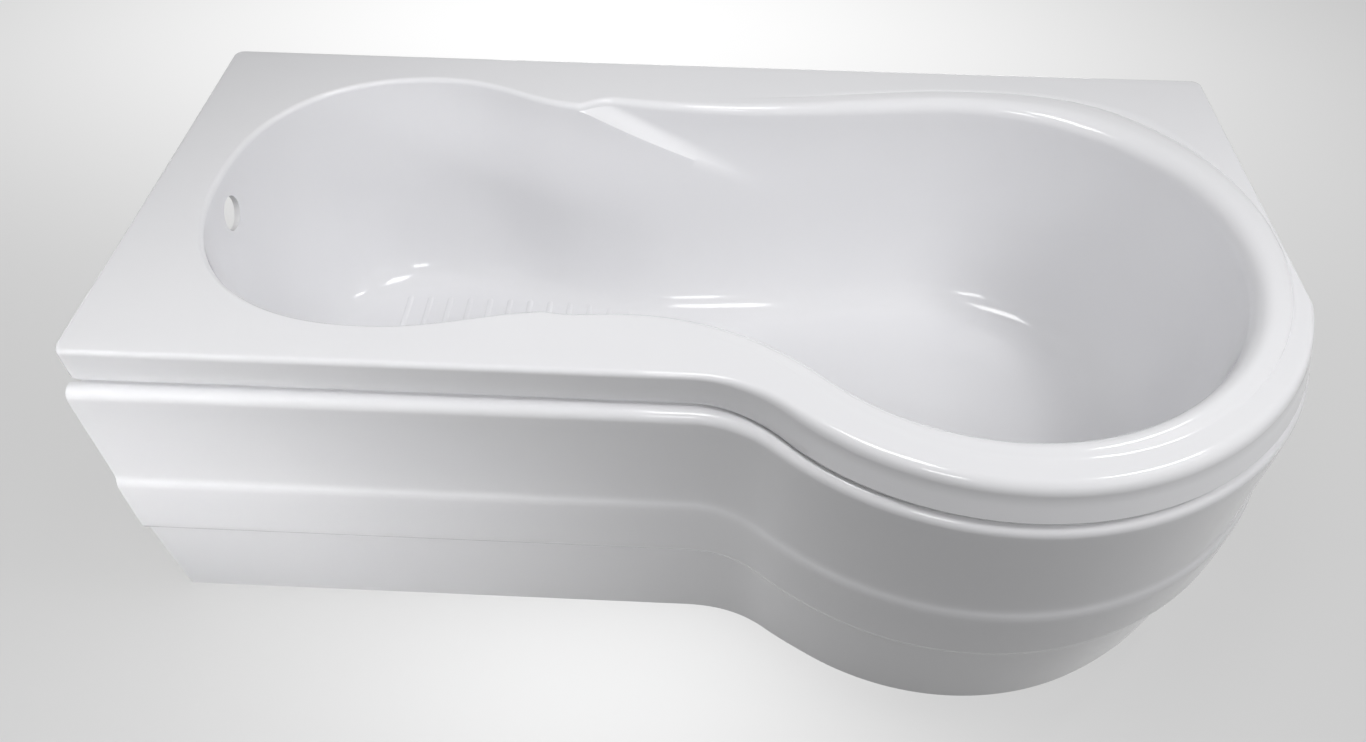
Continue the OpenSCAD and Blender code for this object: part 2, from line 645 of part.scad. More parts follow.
module panel_clips() {
    color("lightgray") {
        for (x = clip_xs) clip_place(x) clip();
        for (a = clip_angles) clip_turn(a) clip();
    }
}
module panel_clip_screws() {
    color("silver") {
        for (x = clip_xs) clip_place(x) clip_screw();
        for (a = clip_angles) clip_turn(a) clip_screw();
    }
}

// Sizes of the stays from the rail ends to the panel foot
stay_width = 30;
stay_length = 32;
stay_screw_in = 10;
stay_drop = 24;

// Leg rails: channels open at the foot, under the board and out to the rods at both ends
narrow_rail_x = left_x + narrow_rail_inset;
wide_rail_x = right_x - wide_rail_inset;
rail_back_gap = 40;
rail_back_y = wall_y - rail_back_gap;
rod_inset = 45;
stay_gap = 0.5;
stay_joint = 1;
narrow_stay_y = wall_y - narrow_width - foot_batten_back;
wide_stay_y = bulge_centre.y
    - sqrt((bulge_radius + bulge_batten_back) ^ 2 - (abs(wide_rail_x - bulge_centre.x) + stay_width / 2) ^ 2);
narrow_rail_end_y = narrow_stay_y + stay_gap + steel + stay_joint;
wide_rail_end_y = wide_stay_y + stay_gap + steel + stay_joint;
rail_screw_ys = [-110, -50, 50, 110];
rail_screw_places = [for (y = rail_screw_ys) each [[narrow_rail_x, tap_centre.y + y],
    [wide_rail_x, board_centre.y + y]]];
narrow_rods = [[narrow_rail_x, rail_back_y - rod_inset], [narrow_rail_x, narrow_rail_end_y + rod_inset]];
wide_rods = [[wide_rail_x, rail_back_y - rod_inset], [wide_rail_x, wide_rail_end_y + rod_inset]];
centre_foot = [(narrow_rail_x + wide_rail_x) / 2, (tap_centre.y + bulge_centre.y) / 2];
feet = concat(narrow_rods, wide_rods, [centre_foot]);

module leg_rail(x, end_y, rods, screws) {
    length = rail_back_y - end_y;
    color("lightgray") difference() {
        translate([x - rail_width / 2, end_y, rail_foot_z]) cube([rail_width, length, rail_height]);
        translate([x - rail_width / 2 + steel, end_y - over, rail_foot_z - over])
            cube([rail_width - 2 * steel, length + 2 * over, rail_height - steel + over]);
        for (p = rods) translate([p.x, p.y, rail_foot_z])
            cylinder(h = rail_height + over, d = rod_diameter + 2 * rod_clearance);
        for (y = screws) translate([x, y, board_foot_z - steel]) steel_hole();
        translate([x, end_y + stay_screw_in, board_foot_z - steel - over])
            cylinder(h = steel + 2 * over, d = screw_d + 2 * pilot_gap);
    }
}
module narrow_leg_rail() {
    leg_rail(narrow_rail_x, narrow_rail_end_y, narrow_rods, [for (y = rail_screw_ys) tap_centre.y + y]);
}
module wide_leg_rail() {
    leg_rail(wide_rail_x, wide_rail_end_y, wide_rods, [for (y = rail_screw_ys) board_centre.y + y]);
}
module rail_screws() {
    color("silver") for (p = rail_screw_places) translate([p.x, p.y, board_foot_z - steel]) screw();
}

// Centre leg: a deep bracket under the board, so that the rod can rise into a hole in the board
centre_width = 56;
centre_length = 60;
centre_flange = 24;
centre_spare = 4;
centre_web_z = shell_foot_z - centre_spare - nut_height - foot_out - foot_in;
centre_screw_x = (centre_width + centre_flange) / 2;
centre_screw_places = [for (i = [-1, 1], j = [-1, 1])
    [centre_foot.x + i * centre_screw_x, centre_foot.y + j * centre_length / 4]];
module centre_leg_bracket() {
    depth = board_foot_z - centre_web_z + steel;
    color("lightgray") difference() {
        union() {
            translate(concat(centre_foot - [centre_width, centre_length] / 2, [centre_web_z - steel]))
                difference() {
                    cube([centre_width, centre_length, depth]);
                    translate([steel, -over, steel])
                        cube([centre_width - 2 * steel, centre_length + 2 * over, depth]);
                }
            for (i = [-1, 1])
                translate([centre_foot.x + i * centre_screw_x, centre_foot.y, board_foot_z - steel / 2])
                    cube([centre_flange, centre_length, steel], center = true);
        }
        translate([centre_foot.x, centre_foot.y, centre_web_z - steel - over])
            cylinder(h = steel + 2 * over, d = rod_diameter + 2 * rod_clearance);
        for (p = centre_screw_places) translate([p.x, p.y, board_foot_z - steel]) steel_hole();
    }
}
module centre_bracket_screws() {
    color("silver") for (p = centre_screw_places) translate([p.x, p.y, board_foot_z - steel]) screw();
}

// Threaded rods, the nut above and below each steel web, and the feet
socket_z = 6;
rod_spare = 4;
centre_rod_spare = 1;
rod_chamfer = 1.5;
foot_bevel = 2;
foot_flange = 6;
foot_fillet = 3;
foot_wall = 6;
centre_leg = 4;
function web_top(i) = i == centre_leg ? centre_web_z : board_foot_z;
module threaded_rod(i) {
    r = rod_diameter / 2;
    top = web_top(i) + nut_height + foot_out + (i == centre_leg ? centre_rod_spare : rod_spare);
    color("silver") translate([feet[i].x, feet[i].y, 0]) rotate_extrude()
        polygon([[0, socket_z], [r, socket_z], [r, top - rod_chamfer], [r - rod_chamfer, top], [0, top]]);
}
module rod_nut() {
    difference() {
        cylinder(h = nut_height, d = nut_flats / cos(30), $fn = 6);
        translate([0, 0, -over]) cylinder(h = nut_height + 2 * over, d = rod_diameter + 2 * thread_clearance);
    }
}
module rod_nuts(i) {
    color("silver") translate([feet[i].x, feet[i].y, 0]) {
        translate([0, 0, web_top(i)]) rod_nut();
        translate([0, 0, web_top(i) - steel - nut_height]) rod_nut();
    }
}
module foot(i) {
    r = foot_diameter / 2;
    boss = rod_diameter / 2 + foot_wall;
    color("dimgray") translate([feet[i].x, feet[i].y, 0]) difference() {
        rotate_extrude() polygon([[0, 0], [r - foot_bevel, 0], [r, foot_bevel], [r, foot_flange],
            [r - foot_fillet, foot_flange + foot_fillet], [boss + foot_fillet, foot_height - foot_wall],
            [boss, foot_height], [0, foot_height]]);
        translate([0, 0, socket_z]) cylinder(h = foot_height, d = rod_diameter + 2 * thread_clearance);
    }
}

// Stays: from the rail ends out to the battens behind the panel foot
module stay(x, y) {
    face = y + stay_gap;
    color("lightgray") difference() {
        union() {
            translate([x - stay_width / 2, face, board_foot_z]) cube([stay_width, stay_length, steel]);
            translate([x - stay_width / 2, face, board_foot_z - stay_drop])
                cube([stay_width, steel, stay_drop + steel]);
        }
        translate([x, face + steel + stay_joint + stay_screw_in, board_foot_z]) steel_hole();
        translate([x, face, board_foot_z - stay_drop / 2]) rotate([-90, 0, 0]) steel_hole();
    }
}
module stay_batten_pilot(x, y) {
    translate([x, y + stay_gap + steel, board_foot_z - stay_drop / 2]) rotate([90, 0, 0]) pilot_hole();
}
module stay_pair(x, y) {
    translate([x, y + stay_gap + steel + stay_joint + stay_screw_in, board_foot_z + steel])
        rotate([180, 0, 0]) screw();
    translate([x, y + stay_gap + steel, board_foot_z - stay_drop / 2]) rotate([90, 0, 0]) screw();
}
module narrow_panel_stay() { stay(narrow_rail_x, narrow_stay_y); }
module wide_panel_stay() { stay(wide_rail_x, wide_stay_y); }
module panel_stay_screws() {
    color("silver") {
        stay_pair(narrow_rail_x, narrow_stay_y);
        stay_pair(wide_rail_x, wide_stay_y);
    }
}

bath_shell();
front_panel();
base_board();
rim_batten_back();
rim_batten_tap_end();
rim_batten_shower_end();
rim_batten_front();
rim_batten_bulge();
narrow_leg_rail();
wide_leg_rail();
centre_leg_bracket();
rail_screws();
centre_bracket_screws();
threaded_rod(0);  // threaded_rod_1
threaded_rod(1);  // threaded_rod_2
threaded_rod(2);  // threaded_rod_3
threaded_rod(3);  // threaded_rod_4
threaded_rod(4);  // threaded_rod_5
rod_nuts(0);  // rod_nuts_1
rod_nuts(1);  // rod_nuts_2
rod_nuts(2);  // rod_nuts_3
rod_nuts(3);  // rod_nuts_4
rod_nuts(4);  // rod_nuts_5
foot(0);  // foot_1
foot(1);  // foot_2
foot(2);  // foot_3
foot(3);  // foot_4
foot(4);  // foot_5
wall_bracket([back_bracket_xs[0], wall_y], 0);  // wall_bracket_back_left
wall_bracket([back_bracket_xs[1], wall_y], 0);  // wall_bracket_back_right
wall_bracket([left_x, tap_bracket_y], 90);  // wall_bracket_tap_end
wall_bracket([right_x, shower_bracket_y], -90);  // wall_bracket_shower_end
wall_bracket_screws();
panel_clips();
panel_clip_screws();
panel_foot_batten();
panel_foot_batten_bulge();
narrow_panel_stay();
wide_panel_stay();
panel_stay_screws();
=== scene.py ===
"""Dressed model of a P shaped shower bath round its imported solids.

Lengths are in millimetres and angles in degrees up to mesh_object(), which turns them into metres. The
shell and the panel are lofted from sections, the rods, nuts and screws are turned from rings, and all other
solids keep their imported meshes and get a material.
"""
import json
import math
import bmesh
import bpy
import numpy as np
from mathutils import Matrix, Vector

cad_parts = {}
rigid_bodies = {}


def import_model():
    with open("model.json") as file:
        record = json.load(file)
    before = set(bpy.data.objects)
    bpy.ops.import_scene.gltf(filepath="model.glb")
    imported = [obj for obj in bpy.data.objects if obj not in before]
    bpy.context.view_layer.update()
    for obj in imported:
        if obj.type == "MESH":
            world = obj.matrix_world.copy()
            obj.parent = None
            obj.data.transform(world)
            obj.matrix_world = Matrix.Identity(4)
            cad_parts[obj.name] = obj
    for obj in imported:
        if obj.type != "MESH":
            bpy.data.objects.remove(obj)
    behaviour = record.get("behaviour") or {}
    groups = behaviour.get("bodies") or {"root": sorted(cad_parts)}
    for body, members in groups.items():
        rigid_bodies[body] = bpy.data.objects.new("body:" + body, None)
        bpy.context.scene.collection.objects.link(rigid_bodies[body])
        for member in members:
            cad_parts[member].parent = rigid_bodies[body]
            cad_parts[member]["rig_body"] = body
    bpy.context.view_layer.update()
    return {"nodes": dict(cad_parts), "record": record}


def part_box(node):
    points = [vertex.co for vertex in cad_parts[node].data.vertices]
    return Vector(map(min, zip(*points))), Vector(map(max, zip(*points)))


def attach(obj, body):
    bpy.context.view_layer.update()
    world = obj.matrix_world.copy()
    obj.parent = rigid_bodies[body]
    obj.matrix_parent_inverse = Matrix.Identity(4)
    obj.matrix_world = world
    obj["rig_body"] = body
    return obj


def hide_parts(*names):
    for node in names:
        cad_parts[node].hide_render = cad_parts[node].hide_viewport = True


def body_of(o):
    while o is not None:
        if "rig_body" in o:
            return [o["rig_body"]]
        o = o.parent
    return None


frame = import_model()

# Driving sizes, the same as in the part's source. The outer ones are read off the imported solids.
MM = 0.001
SHELL_LOW, SHELL_HIGH = [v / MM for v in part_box("bath_shell")]
LEFT_X, RIGHT_X = SHELL_LOW.x, SHELL_HIGH.x
WALL_Y = SHELL_HIGH.y
NARROW_WIDTH = 700
WIDE_WIDTH = 850
RIM_HEIGHT = 530
BOWL_DEPTH = 370
BULGE_RADIUS = 425
BULGE_INSET = 412
SWING_START = 790
CORNER_RADIUS = 14
TAP_INSET = 372
TAP_RADIUS = 281
TAP_POWER = 2.3
BOWL_RADIUS = 350
WAIST_FRONT = 590
WAIST_BACK = 43
BOWL_SWING_START = 715
SHELL_THICKNESS = 5
APRON_HEIGHT = 52
EDGE_RADIUS = 8
BULGE_EDGE_RADIUS = 18
APRON_LEAN = 12
RING_HEIGHT = 7
RING_WIDTH = 64
RING_NARROW = 36
LIP_WIDTH = 14
WALL_RUN = 110
WALL_POWER = 2.6
ARMREST_BACK = 28
ARMREST_FRONT = 10
WASTE_DIAMETER = 52
WASTE_INSET = 280
OVERFLOW_DIAMETER = 52
OVERFLOW_DROP = 62
PAD_MARGIN = 17
PAD_THICKNESS = 4
PANEL_THICKNESS = 4
PANEL_STAND = 20
PANEL_GAP = 4  # the solid keeps 5
BAND_STAND = 7
BAND_TOP = 296
BAND_BOTTOM = 183
FOOT_DRAW = 16
BULGE_DRAW = 16
FLANGE_HEIGHT = 22
BATTEN_THICKNESS = 20

FLOOR_Z = RIM_HEIGHT - BOWL_DEPTH
LIP_FOOT_Z = RIM_HEIGHT - SHELL_THICKNESS - BATTEN_THICKNESS
APRON_FOOT_Z = RIM_HEIGHT - APRON_HEIGHT
LEDGE_Z = APRON_FOOT_Z - PANEL_GAP
TAP_CENTRE = np.array([LEFT_X + TAP_INSET, WALL_Y - NARROW_WIDTH / 2])
BULGE_CENTRE = np.array([RIGHT_X - BULGE_INSET, WALL_Y - WIDE_WIDTH + BULGE_RADIUS])
SWING_X = LEFT_X + SWING_START
BOWL_SWING_X = LEFT_X + BOWL_SWING_START
WASTE_AT = np.array([LEFT_X + WASTE_INSET, TAP_CENTRE[1]])
OVERFLOW_Z = RIM_HEIGHT - OVERFLOW_DROP


# ---------- Plan of the rim and of the bowl ----------

def clamp(t):
    return max(0.0, min(1.0, t))


def ease(t):
    """Smooth step from 0 to 1."""
    c = clamp(t)
    return c * c * (3 - 2 * c)


def mix(a, b, t):
    return a + (b - a) * t


def cos(a):
    return math.cos(math.radians(a))


def sin(a):
    return math.sin(math.radians(a))


def heading(a):
    return np.array([cos(a), sin(a)])


def steps(a, b, n):
    """n even steps from a towards b, without b itself."""
    return [mix(a, b, i / n) for i in range(n)]


def swing_radius(w, r, x0):
    """Radius of the arc that is tangent to the straight front at x0 and to the round of radius r."""
    rise = w - (WALL_Y - BULGE_CENTRE[1])
    return ((BULGE_CENTRE[0] - x0) ** 2 - r ** 2 + rise ** 2) / (2 * (r - rise))


def p_front(x, w, r, x0):
    """Front line of a P: straight at w from the wall to x0, then a tangent arc to the round of radius r."""
    c = swing_radius(w, r, x0)
    if x <= x0:
        return WALL_Y - w
    if x < x0 + (BULGE_CENTRE[0] - x0) * c / (c + r):
        return WALL_Y - w - c + math.sqrt(c ** 2 - (x - x0) ** 2)
    return BULGE_CENTRE[1] - math.sqrt(r ** 2 - (x - BULGE_CENTRE[0]) ** 2)


def bulge_share(x):
    """0 along the straight front, rising to 1 on the bulge."""
    return ease((x - SWING_X) / (BULGE_CENTRE[0] - BULGE_RADIUS / 2 - SWING_X))


def square_reach(cx, cy, a):
    """Distance along a ray to the side of a rectangle or to its rounded corner."""
    h = heading(a)
    side = min(cx / h[0], cy / h[1]) if cy * h[1] > 0 else cx / h[0]
    p = side * h
    if abs(cx - p[0]) < CORNER_RADIUS and abs(cy - p[1]) < CORNER_RADIUS:
        m = np.array([cx - math.copysign(CORNER_RADIUS, cx), cy - math.copysign(CORNER_RADIUS, cy)])
        k = m @ h
        return k + math.sqrt(max(0, CORNER_RADIUS ** 2 - m @ m + k ** 2))
    return side


def rim_reach(p, a):
    """Distance from spine point p to the rim's outline along heading a."""
    if p[0] <= TAP_CENTRE[0] and a not in (90, 270):
        wall = WALL_Y if a < 180 else WALL_Y - NARROW_WIDTH
        return square_reach(LEFT_X - p[0], wall - p[1], a)
    if a == 90:
        return WALL_Y - p[1]
    if p[0] < BULGE_CENTRE[0] or a == 270:
        return p[1] - p_front(p[0], NARROW_WIDTH, BULGE_RADIUS, SWING_X)
    if a > 180:
        return min(BULGE_RADIUS, (RIGHT_X - p[0]) / cos(a))
    return square_reach(RIGHT_X - p[0], WALL_Y - p[1], a)


BOWL_RING_BACK = 18
BACK_TURN = 20
BOW_POWER = 1.4


def bowl_back(x):
    """Back line of the bowl's mouth, drawn in at the waist."""
    s = (x - TAP_CENTRE[0]) / (BULGE_CENTRE[0] - TAP_CENTRE[0])
    d1 = NARROW_WIDTH / 2 - TAP_RADIUS
    d2 = WIDE_WIDTH - BULGE_RADIUS - BOWL_RADIUS + BOWL_RING_BACK
    return WALL_Y - mix(d1, d2, s) - WAIST_BACK * max(0, sin(180 * s)) ** BOW_POWER


def bowl_front(x):
    """Front line of the bowl's mouth."""
    full = NARROW_WIDTH / 2 + TAP_RADIUS - WAIST_FRONT
    return (p_front(x, WAIST_FRONT, BOWL_RADIUS, BOWL_SWING_X)
            - full * (1 - ease((x - TAP_CENTRE[0]) / (BOWL_SWING_X - TAP_CENTRE[0]))))


def bowl_reach(p, a):
    """Distance from spine point p to the bowl's mouth along heading a."""
    if p[0] <= TAP_CENTRE[0] and a not in (90, 270):
        return TAP_RADIUS / (abs(cos(a)) ** TAP_POWER + abs(sin(a)) ** TAP_POWER) ** (1 / TAP_POWER)
    if p[0] < BULGE_CENTRE[0]:
        return bowl_back(p[0]) - p[1] if a == 90 else p[1] - bowl_front(p[0])
    if a <= 90:
        return BOWL_RADIUS - BOWL_RING_BACK * ease((a - BACK_TURN) / (90 - BACK_TURN))
    return BOWL_RADIUS


# ---------- Rays, and how the section changes from ray to ray ----------

SPINE_STEPS = 104
CORNER_STEPS = 12
TAP_SIDE_STEPS = 24
TAP_END_STEPS = 44
BULGE_STEPS = 56
SHOWER_END_STEPS = 34
CORNER_A = math.degrees(math.atan2(NARROW_WIDTH / 2, TAP_INSET))
CORNER_B = math.degrees(math.atan2(WALL_Y - BULGE_CENTRE[1], BULGE_INSET))
CORNER_C = -math.degrees(math.acos(BULGE_INSET / BULGE_RADIUS))
CORNER_TURN = 1.6


def shell_rays():
    """Spine point and heading of each section, once round the bath, with fine steps at the corners."""
    tap_back, tap_front = 180 - CORNER_A, 180 + CORNER_A
    tap = (steps(90, tap_back - CORNER_TURN, TAP_SIDE_STEPS)
           + steps(tap_back - CORNER_TURN, tap_back + CORNER_TURN, CORNER_STEPS)
           + steps(tap_back + CORNER_TURN, tap_front - CORNER_TURN, TAP_END_STEPS)
           + steps(tap_front - CORNER_TURN, tap_front + CORNER_TURN, CORNER_STEPS)
           + steps(tap_front + CORNER_TURN, 270, TAP_SIDE_STEPS))
    bulge = (steps(270, 360 + CORNER_C, BULGE_STEPS) + [CORNER_C]
             + steps(CORNER_C + CORNER_TURN / 4, CORNER_B - CORNER_TURN, SHOWER_END_STEPS)
             + steps(CORNER_B - CORNER_TURN, CORNER_B + CORNER_TURN, CORNER_STEPS)
             + steps(CORNER_B + CORNER_TURN, 90, TAP_SIDE_STEPS))
    along = steps(0, 1, SPINE_STEPS)
    return ([(TAP_CENTRE, a) for a in tap]
            + [(mix(TAP_CENTRE, BULGE_CENTRE, s), 270) for s in along]
            + [(BULGE_CENTRE, a) for a in bulge]
            + [(mix(BULGE_CENTRE, TAP_CENTRE, s), 90) for s in along])


END_TURN = 40
RING_BACK_SHARE = 0.25
RING_FRONT_SHARE = 0.5
RING_RISE_TURN = 60
WIDEN_FROM = -60
WIDEN_TO = 40
NARROW_FROM = 50


def signed(a):
    """Heading a between -180 and 180."""
    return a - 360 if a > 180 else a


def is_front(a):
    """True where the rim has the deep apron, false where it has the short lip of the wall sides."""
    return a > 180 + CORNER_A - CORNER_TURN / 2 or (a < 0 and a <= CORNER_C)


def edge_share(p, a):
    """How much of the bulge's larger edge radius the rim has."""
    if p[0] < BULGE_CENTRE[0]:
        return bulge_share(p[0])
    return 0 if a < 0 else 1 - ease((a - 360 - CORNER_C + END_TURN) / END_TURN)


def ring_share(p, a):
    """How far the rolled ring stands up: not at all at the tap end, fully at the shower end."""
    if p[0] < BULGE_CENTRE[0]:
        past = ease((p[0] - SWING_X) / (BULGE_CENTRE[0] - SWING_X))
        return past * (RING_BACK_SHARE if a == 90 else RING_FRONT_SHARE)
    if a > 180:
        return mix(RING_FRONT_SHARE, 1, ease((a - 270) / RING_RISE_TURN))
    return mix(1, RING_BACK_SHARE, ease((a - BACK_TURN) / (90 - BACK_TURN)))


def lip_share(p):
    """0 at the tap end, 1 on the bulge."""
    return ease((p[0] - TAP_CENTRE[0]) / (BULGE_CENTRE[0] - TAP_CENTRE[0]))


def roll_width(p, a):
    """Width of the rolled ring, which is widest at the shower end."""
    if p[0] < BULGE_CENTRE[0]:
        return mix(LIP_WIDTH, RING_NARROW, lip_share(p))
    widen = ease((signed(a) - WIDEN_FROM) / (WIDEN_TO - WIDEN_FROM))
    return mix(RING_NARROW, RING_WIDTH, widen * (1 - ease((signed(a) - NARROW_FROM) / (90 - NARROW_FROM))))


# ---------- Armrest, and the section of the shell ----------

REST_LEAD = 30
REST_FULL = 200
REST_LENGTH = 550
REST_SOFT = 26
REST_FALL = 150
REST_SLOPE = 0.47
REST_RISE = 14
REST_CLEARANCE = 3
LIP_DROP = 8
RING_DROP = 20
LIP_EDGE_RADIUS = EDGE_RADIUS - 1
APRON_BEVEL = 4
LEAST_FLAT = 1
CREASE_POWER = 1.15
CREASE_WIDTH = 1.6
CREASE_DEPTH = 0.9
CREASE_SHARE = 0.25
CREASE_TURN = 18
SPINE_GAP = 60
EDGE_STEPS = 9
FLAT_STEPS = 7
RING_STEPS = 10
LIP_STEPS = 11
UPPER_WALL_STEPS = 16
LOWER_WALL_STEPS = 24
APRON_STOPS = (0.3, 0.65)
FLOOR_STOPS = (0.33, 0.67, 1)


def rest_depth(x):
    """How deep the armrest is along the bath: it rises quickly and dies away slowly."""
    d = x - TAP_CENTRE[0]
    if d < REST_FULL:
        return ease((d - REST_LEAD) / (REST_FULL - REST_LEAD))
    return 1 - ease((d - REST_FULL) / (REST_LENGTH - REST_FULL))


def rest_line(x):
    """Height of the fold under the armrest, which slopes down towards the shower end."""
    return RIM_HEIGHT + REST_RISE - REST_SLOPE * max(0, x - TAP_CENTRE[0] - REST_FULL)


def rest_in(p, a, z):
    """How far the armrest stands into the bowl at height z."""
    if p[0] <= TAP_CENTRE[0] or p[0] >= BULGE_CENTRE[0]:
        return 0
    share = clamp((rest_line(p[0]) - z) / REST_SOFT + 0.5)
    return (ARMREST_BACK if a == 90 else ARMREST_FRONT) * rest_depth(p[0]) * share ** 2


def apron_points(p, reach, edge, front):
    """The apron, or the lip of a wall side, and the rounded outer edge of the rim."""
    rim_x = p[0] + (0 if p[0] < BULGE_CENTRE[0] else BULGE_RADIUS)
    lean = APRON_LEAN * bulge_share(rim_x) if front else 0
    foot = APRON_FOOT_Z if front else LIP_FOOT_Z
    face = [(reach + lean * (1 - t), mix(foot + APRON_BEVEL, RIM_HEIGHT - edge, t)) for t in APRON_STOPS]
    turn = [(reach - edge * (1 - cos(t)), RIM_HEIGHT - edge * (1 - sin(t))) for t in steps(0, 90, EDGE_STEPS)]
    return [(reach + lean - APRON_BEVEL / 2, foot), (reach + lean, foot + APRON_BEVEL)] + face + turn


def ring_points(outer, lip, width, share, bulge, drop):
    """The flat deck, the crease at the foot of the ring, and the ring over to the bowl's lip."""
    crest, crease = lip + width / 2, lip + width
    shoulder = crease + min(CREASE_WIDTH, (outer - crease) / 2)
    points = [(d, RIM_HEIGHT) for d in steps(outer, shoulder, FLAT_STEPS)] + [(shoulder, RIM_HEIGHT)]
    rise = RING_HEIGHT * share
    groove = CREASE_DEPTH * (1 - bulge) * ease(share / CREASE_SHARE)
    for t in steps(0, 90, RING_STEPS):
        up = rise * mix(sin(t) ** CREASE_POWER, ease(1 - cos(t)), bulge)
        points.append((crest + width / 2 * cos(t), RIM_HEIGHT + up - groove * max(0.0, 1 - t / CREASE_TURN)))
    for t in steps(0, 90, LIP_STEPS):
        points.append((crest - width / 2 * sin(t), RIM_HEIGHT + rise - (rise + drop) * (1 - cos(t))))
    return points


def wall_points(p, a, mouth, top):
    """The bowl's wall with the armrest's fold, and its floor as far as the spine."""
    fold = max(RIM_HEIGHT - REST_FALL - REST_SOFT, min(top - REST_CLEARANCE, rest_line(p[0]) - REST_SOFT / 2))
    heights = steps(top, fold, UPPER_WALL_STEPS)
    heights += [mix(fold, FLOOR_Z, sin(t)) for t in steps(0, 90, LOWER_WALL_STEPS)] + [FLOOR_Z]
    points = []
    for z in heights:
        fall = (top - z) / (top - FLOOR_Z)
        out = (WALL_RUN - rest_in(p, a, z)) * max(0.0, 1 - fall ** WALL_POWER) ** (1 / WALL_POWER)
        points.append((mouth - WALL_RUN + out, z))
    inner = mouth - WALL_RUN
    return points + [(mix(inner, SPINE_GAP, t), FLOOR_Z) for t in FLOOR_STOPS] + [(0.0, FLOOR_Z)]


def shell_section(p, a):
    """Section along a ray, as (distance, height), from the apron's foot over the rim to the bowl's spine."""
    drop = mix(LIP_DROP, RING_DROP, lip_share(p))
    top = RIM_HEIGHT - drop
    reach, mouth = rim_reach(p, a), bowl_reach(p, a)
    lip = mouth - rest_in(p, a, top)
    front = is_front(a)
    bulge = edge_share(p, a) if front else 0
    edge = mix(EDGE_RADIUS, BULGE_EDGE_RADIUS, bulge) if front else LIP_EDGE_RADIUS
    width = min(roll_width(p, a), reach - edge - lip - LEAST_FLAT)
    return np.array(apron_points(p, reach, edge, front)
                    + ring_points(reach - edge, lip, width, ring_share(p, a), bulge, drop)
                    + wall_points(p, a, mouth, top))


def set_back(section, t):
    """The section moved by t (one value or one for each point) to its hidden side."""
    ahead = np.vstack([section[1:], section[-1:]])
    behind = np.vstack([section[:1], section[:-1]])
    d = ahead - behind
    d /= np.linalg.norm(d, axis=1)[:, None]
    return section + np.stack([-d[:, 1], d[:, 0]], axis=1) * np.reshape(t, (-1, 1))


def place(p, a, section):
    """Section points as points in the part's frame, kept inside the end walls and the long wall."""
    h = heading(a)
    x = np.clip(p[0] + h[0] * section[:, 0], LEFT_X, RIGHT_X)
    y = np.minimum(p[1] + h[1] * section[:, 0], WALL_Y)
    return np.stack([x, y, section[:, 1]], axis=1)


# ---------- Mesh helpers ----------

def link(obj):
    bpy.context.scene.collection.objects.link(obj)
    return obj


def mesh_object(name, points, faces):
    """A mesh from points in millimetres."""
    mesh = bpy.data.meshes.new(name)
    mesh.from_pydata([tuple(v) for v in np.asarray(points) * MM], [], faces)
    mesh.validate()
    return link(bpy.data.objects.new(name, mesh))


def skin_faces(n, m, closed, cap_end):
    """Quads of two grids of n rows by m points, joined along their first points and, if asked, their last."""
    def front(i, j):
        return (i % n) * m + j

    def back(i, j):
        return n * m + front(i, j)

    faces = []
    for i in range(n if closed else n - 1):
        for j in range(m - 1):
            faces.append((front(i, j), front(i, j + 1), front(i + 1, j + 1), front(i + 1, j)))
            faces.append((back(i, j), back(i + 1, j), back(i + 1, j + 1), back(i, j + 1)))
        faces.append((front(i, 0), front(i + 1, 0), back(i + 1, 0), back(i, 0)))
        if cap_end:
            faces.append((front(i, m - 1), back(i, m - 1), back(i + 1, m - 1), front(i + 1, m - 1)))
    if not closed:
        for j in range(m - 1):
            faces.append((front(0, j), back(0, j), back(0, j + 1), front(0, j + 1)))
            faces.append((front(n - 1, j), front(n - 1, j + 1), back(n - 1, j + 1), back(n - 1, j)))
    return faces


SHARP_ANGLE = 35
MERGE = 1e-6  # metres


def tidy_mesh(obj, merge=MERGE, sharp=SHARP_ANGLE):
    """Merges double corners, points all faces outwards and shades smoothly between sharp edges."""
    work = bmesh.new()
    work.from_mesh(obj.data)
    bmesh.ops.remove_doubles(work, verts=work.verts, dist=merge)
    bmesh.ops.dissolve_degenerate(work, edges=work.edges, dist=merge)
    bmesh.ops.recalc_face_normals(work, faces=work.faces)
    work.to_mesh(obj.data)
    work.free()
    for polygon in obj.data.polygons:
        polygon.use_smooth = True
    obj.data.set_sharp_from_angle(angle=math.radians(sharp))


HOLE_SIDES = 96
CUT_REACH = 30


def cut_round_hole(obj, centre, axis, diameter):
    """Boolean cut of a round hole through obj; the cutter reaches to both sides of centre along axis."""
    radius, depth = diameter / 2 * MM, 2 * CUT_REACH * MM
    cutter = bpy.data.meshes.new("cutter")
    work = bmesh.new()
    bmesh.ops.create_cone(work, cap_ends=True, segments=HOLE_SIDES, radius1=radius, radius2=radius,
                          depth=depth)
    turn = Vector((0, 0, 1)).rotation_difference(Vector(axis)).to_matrix().to_4x4()
    bmesh.ops.transform(work, matrix=Matrix.Translation(Vector(centre) * MM) @ turn, verts=work.verts)
    work.to_mesh(cutter)
    work.free()
    tool = link(bpy.data.objects.new("cutter", cutter))
    cut = obj.modifiers.new("hole", "BOOLEAN")
    cut.operation, cut.solver, cut.object = "DIFFERENCE", "EXACT", tool
    bpy.context.view_layer.update()
    result = bpy.data.meshes.new_from_object(obj.evaluated_get(bpy.context.evaluated_depsgraph_get()))
    obj.modifiers.remove(cut)
    obj.data = result
    bpy.data.objects.remove(tool)


# ---------- The shell ----------

PAD_FADE = 3
PAD_GROWTH = PAD_THICKNESS * 0.9
WASTE_TOP_Z = FLOOR_Z + 1
OVERFLOW_TOP_Z = RIM_HEIGHT - LIP_DROP - 2
TAP_WALL_DEPTH = 60
FAR_OFF = 1e3


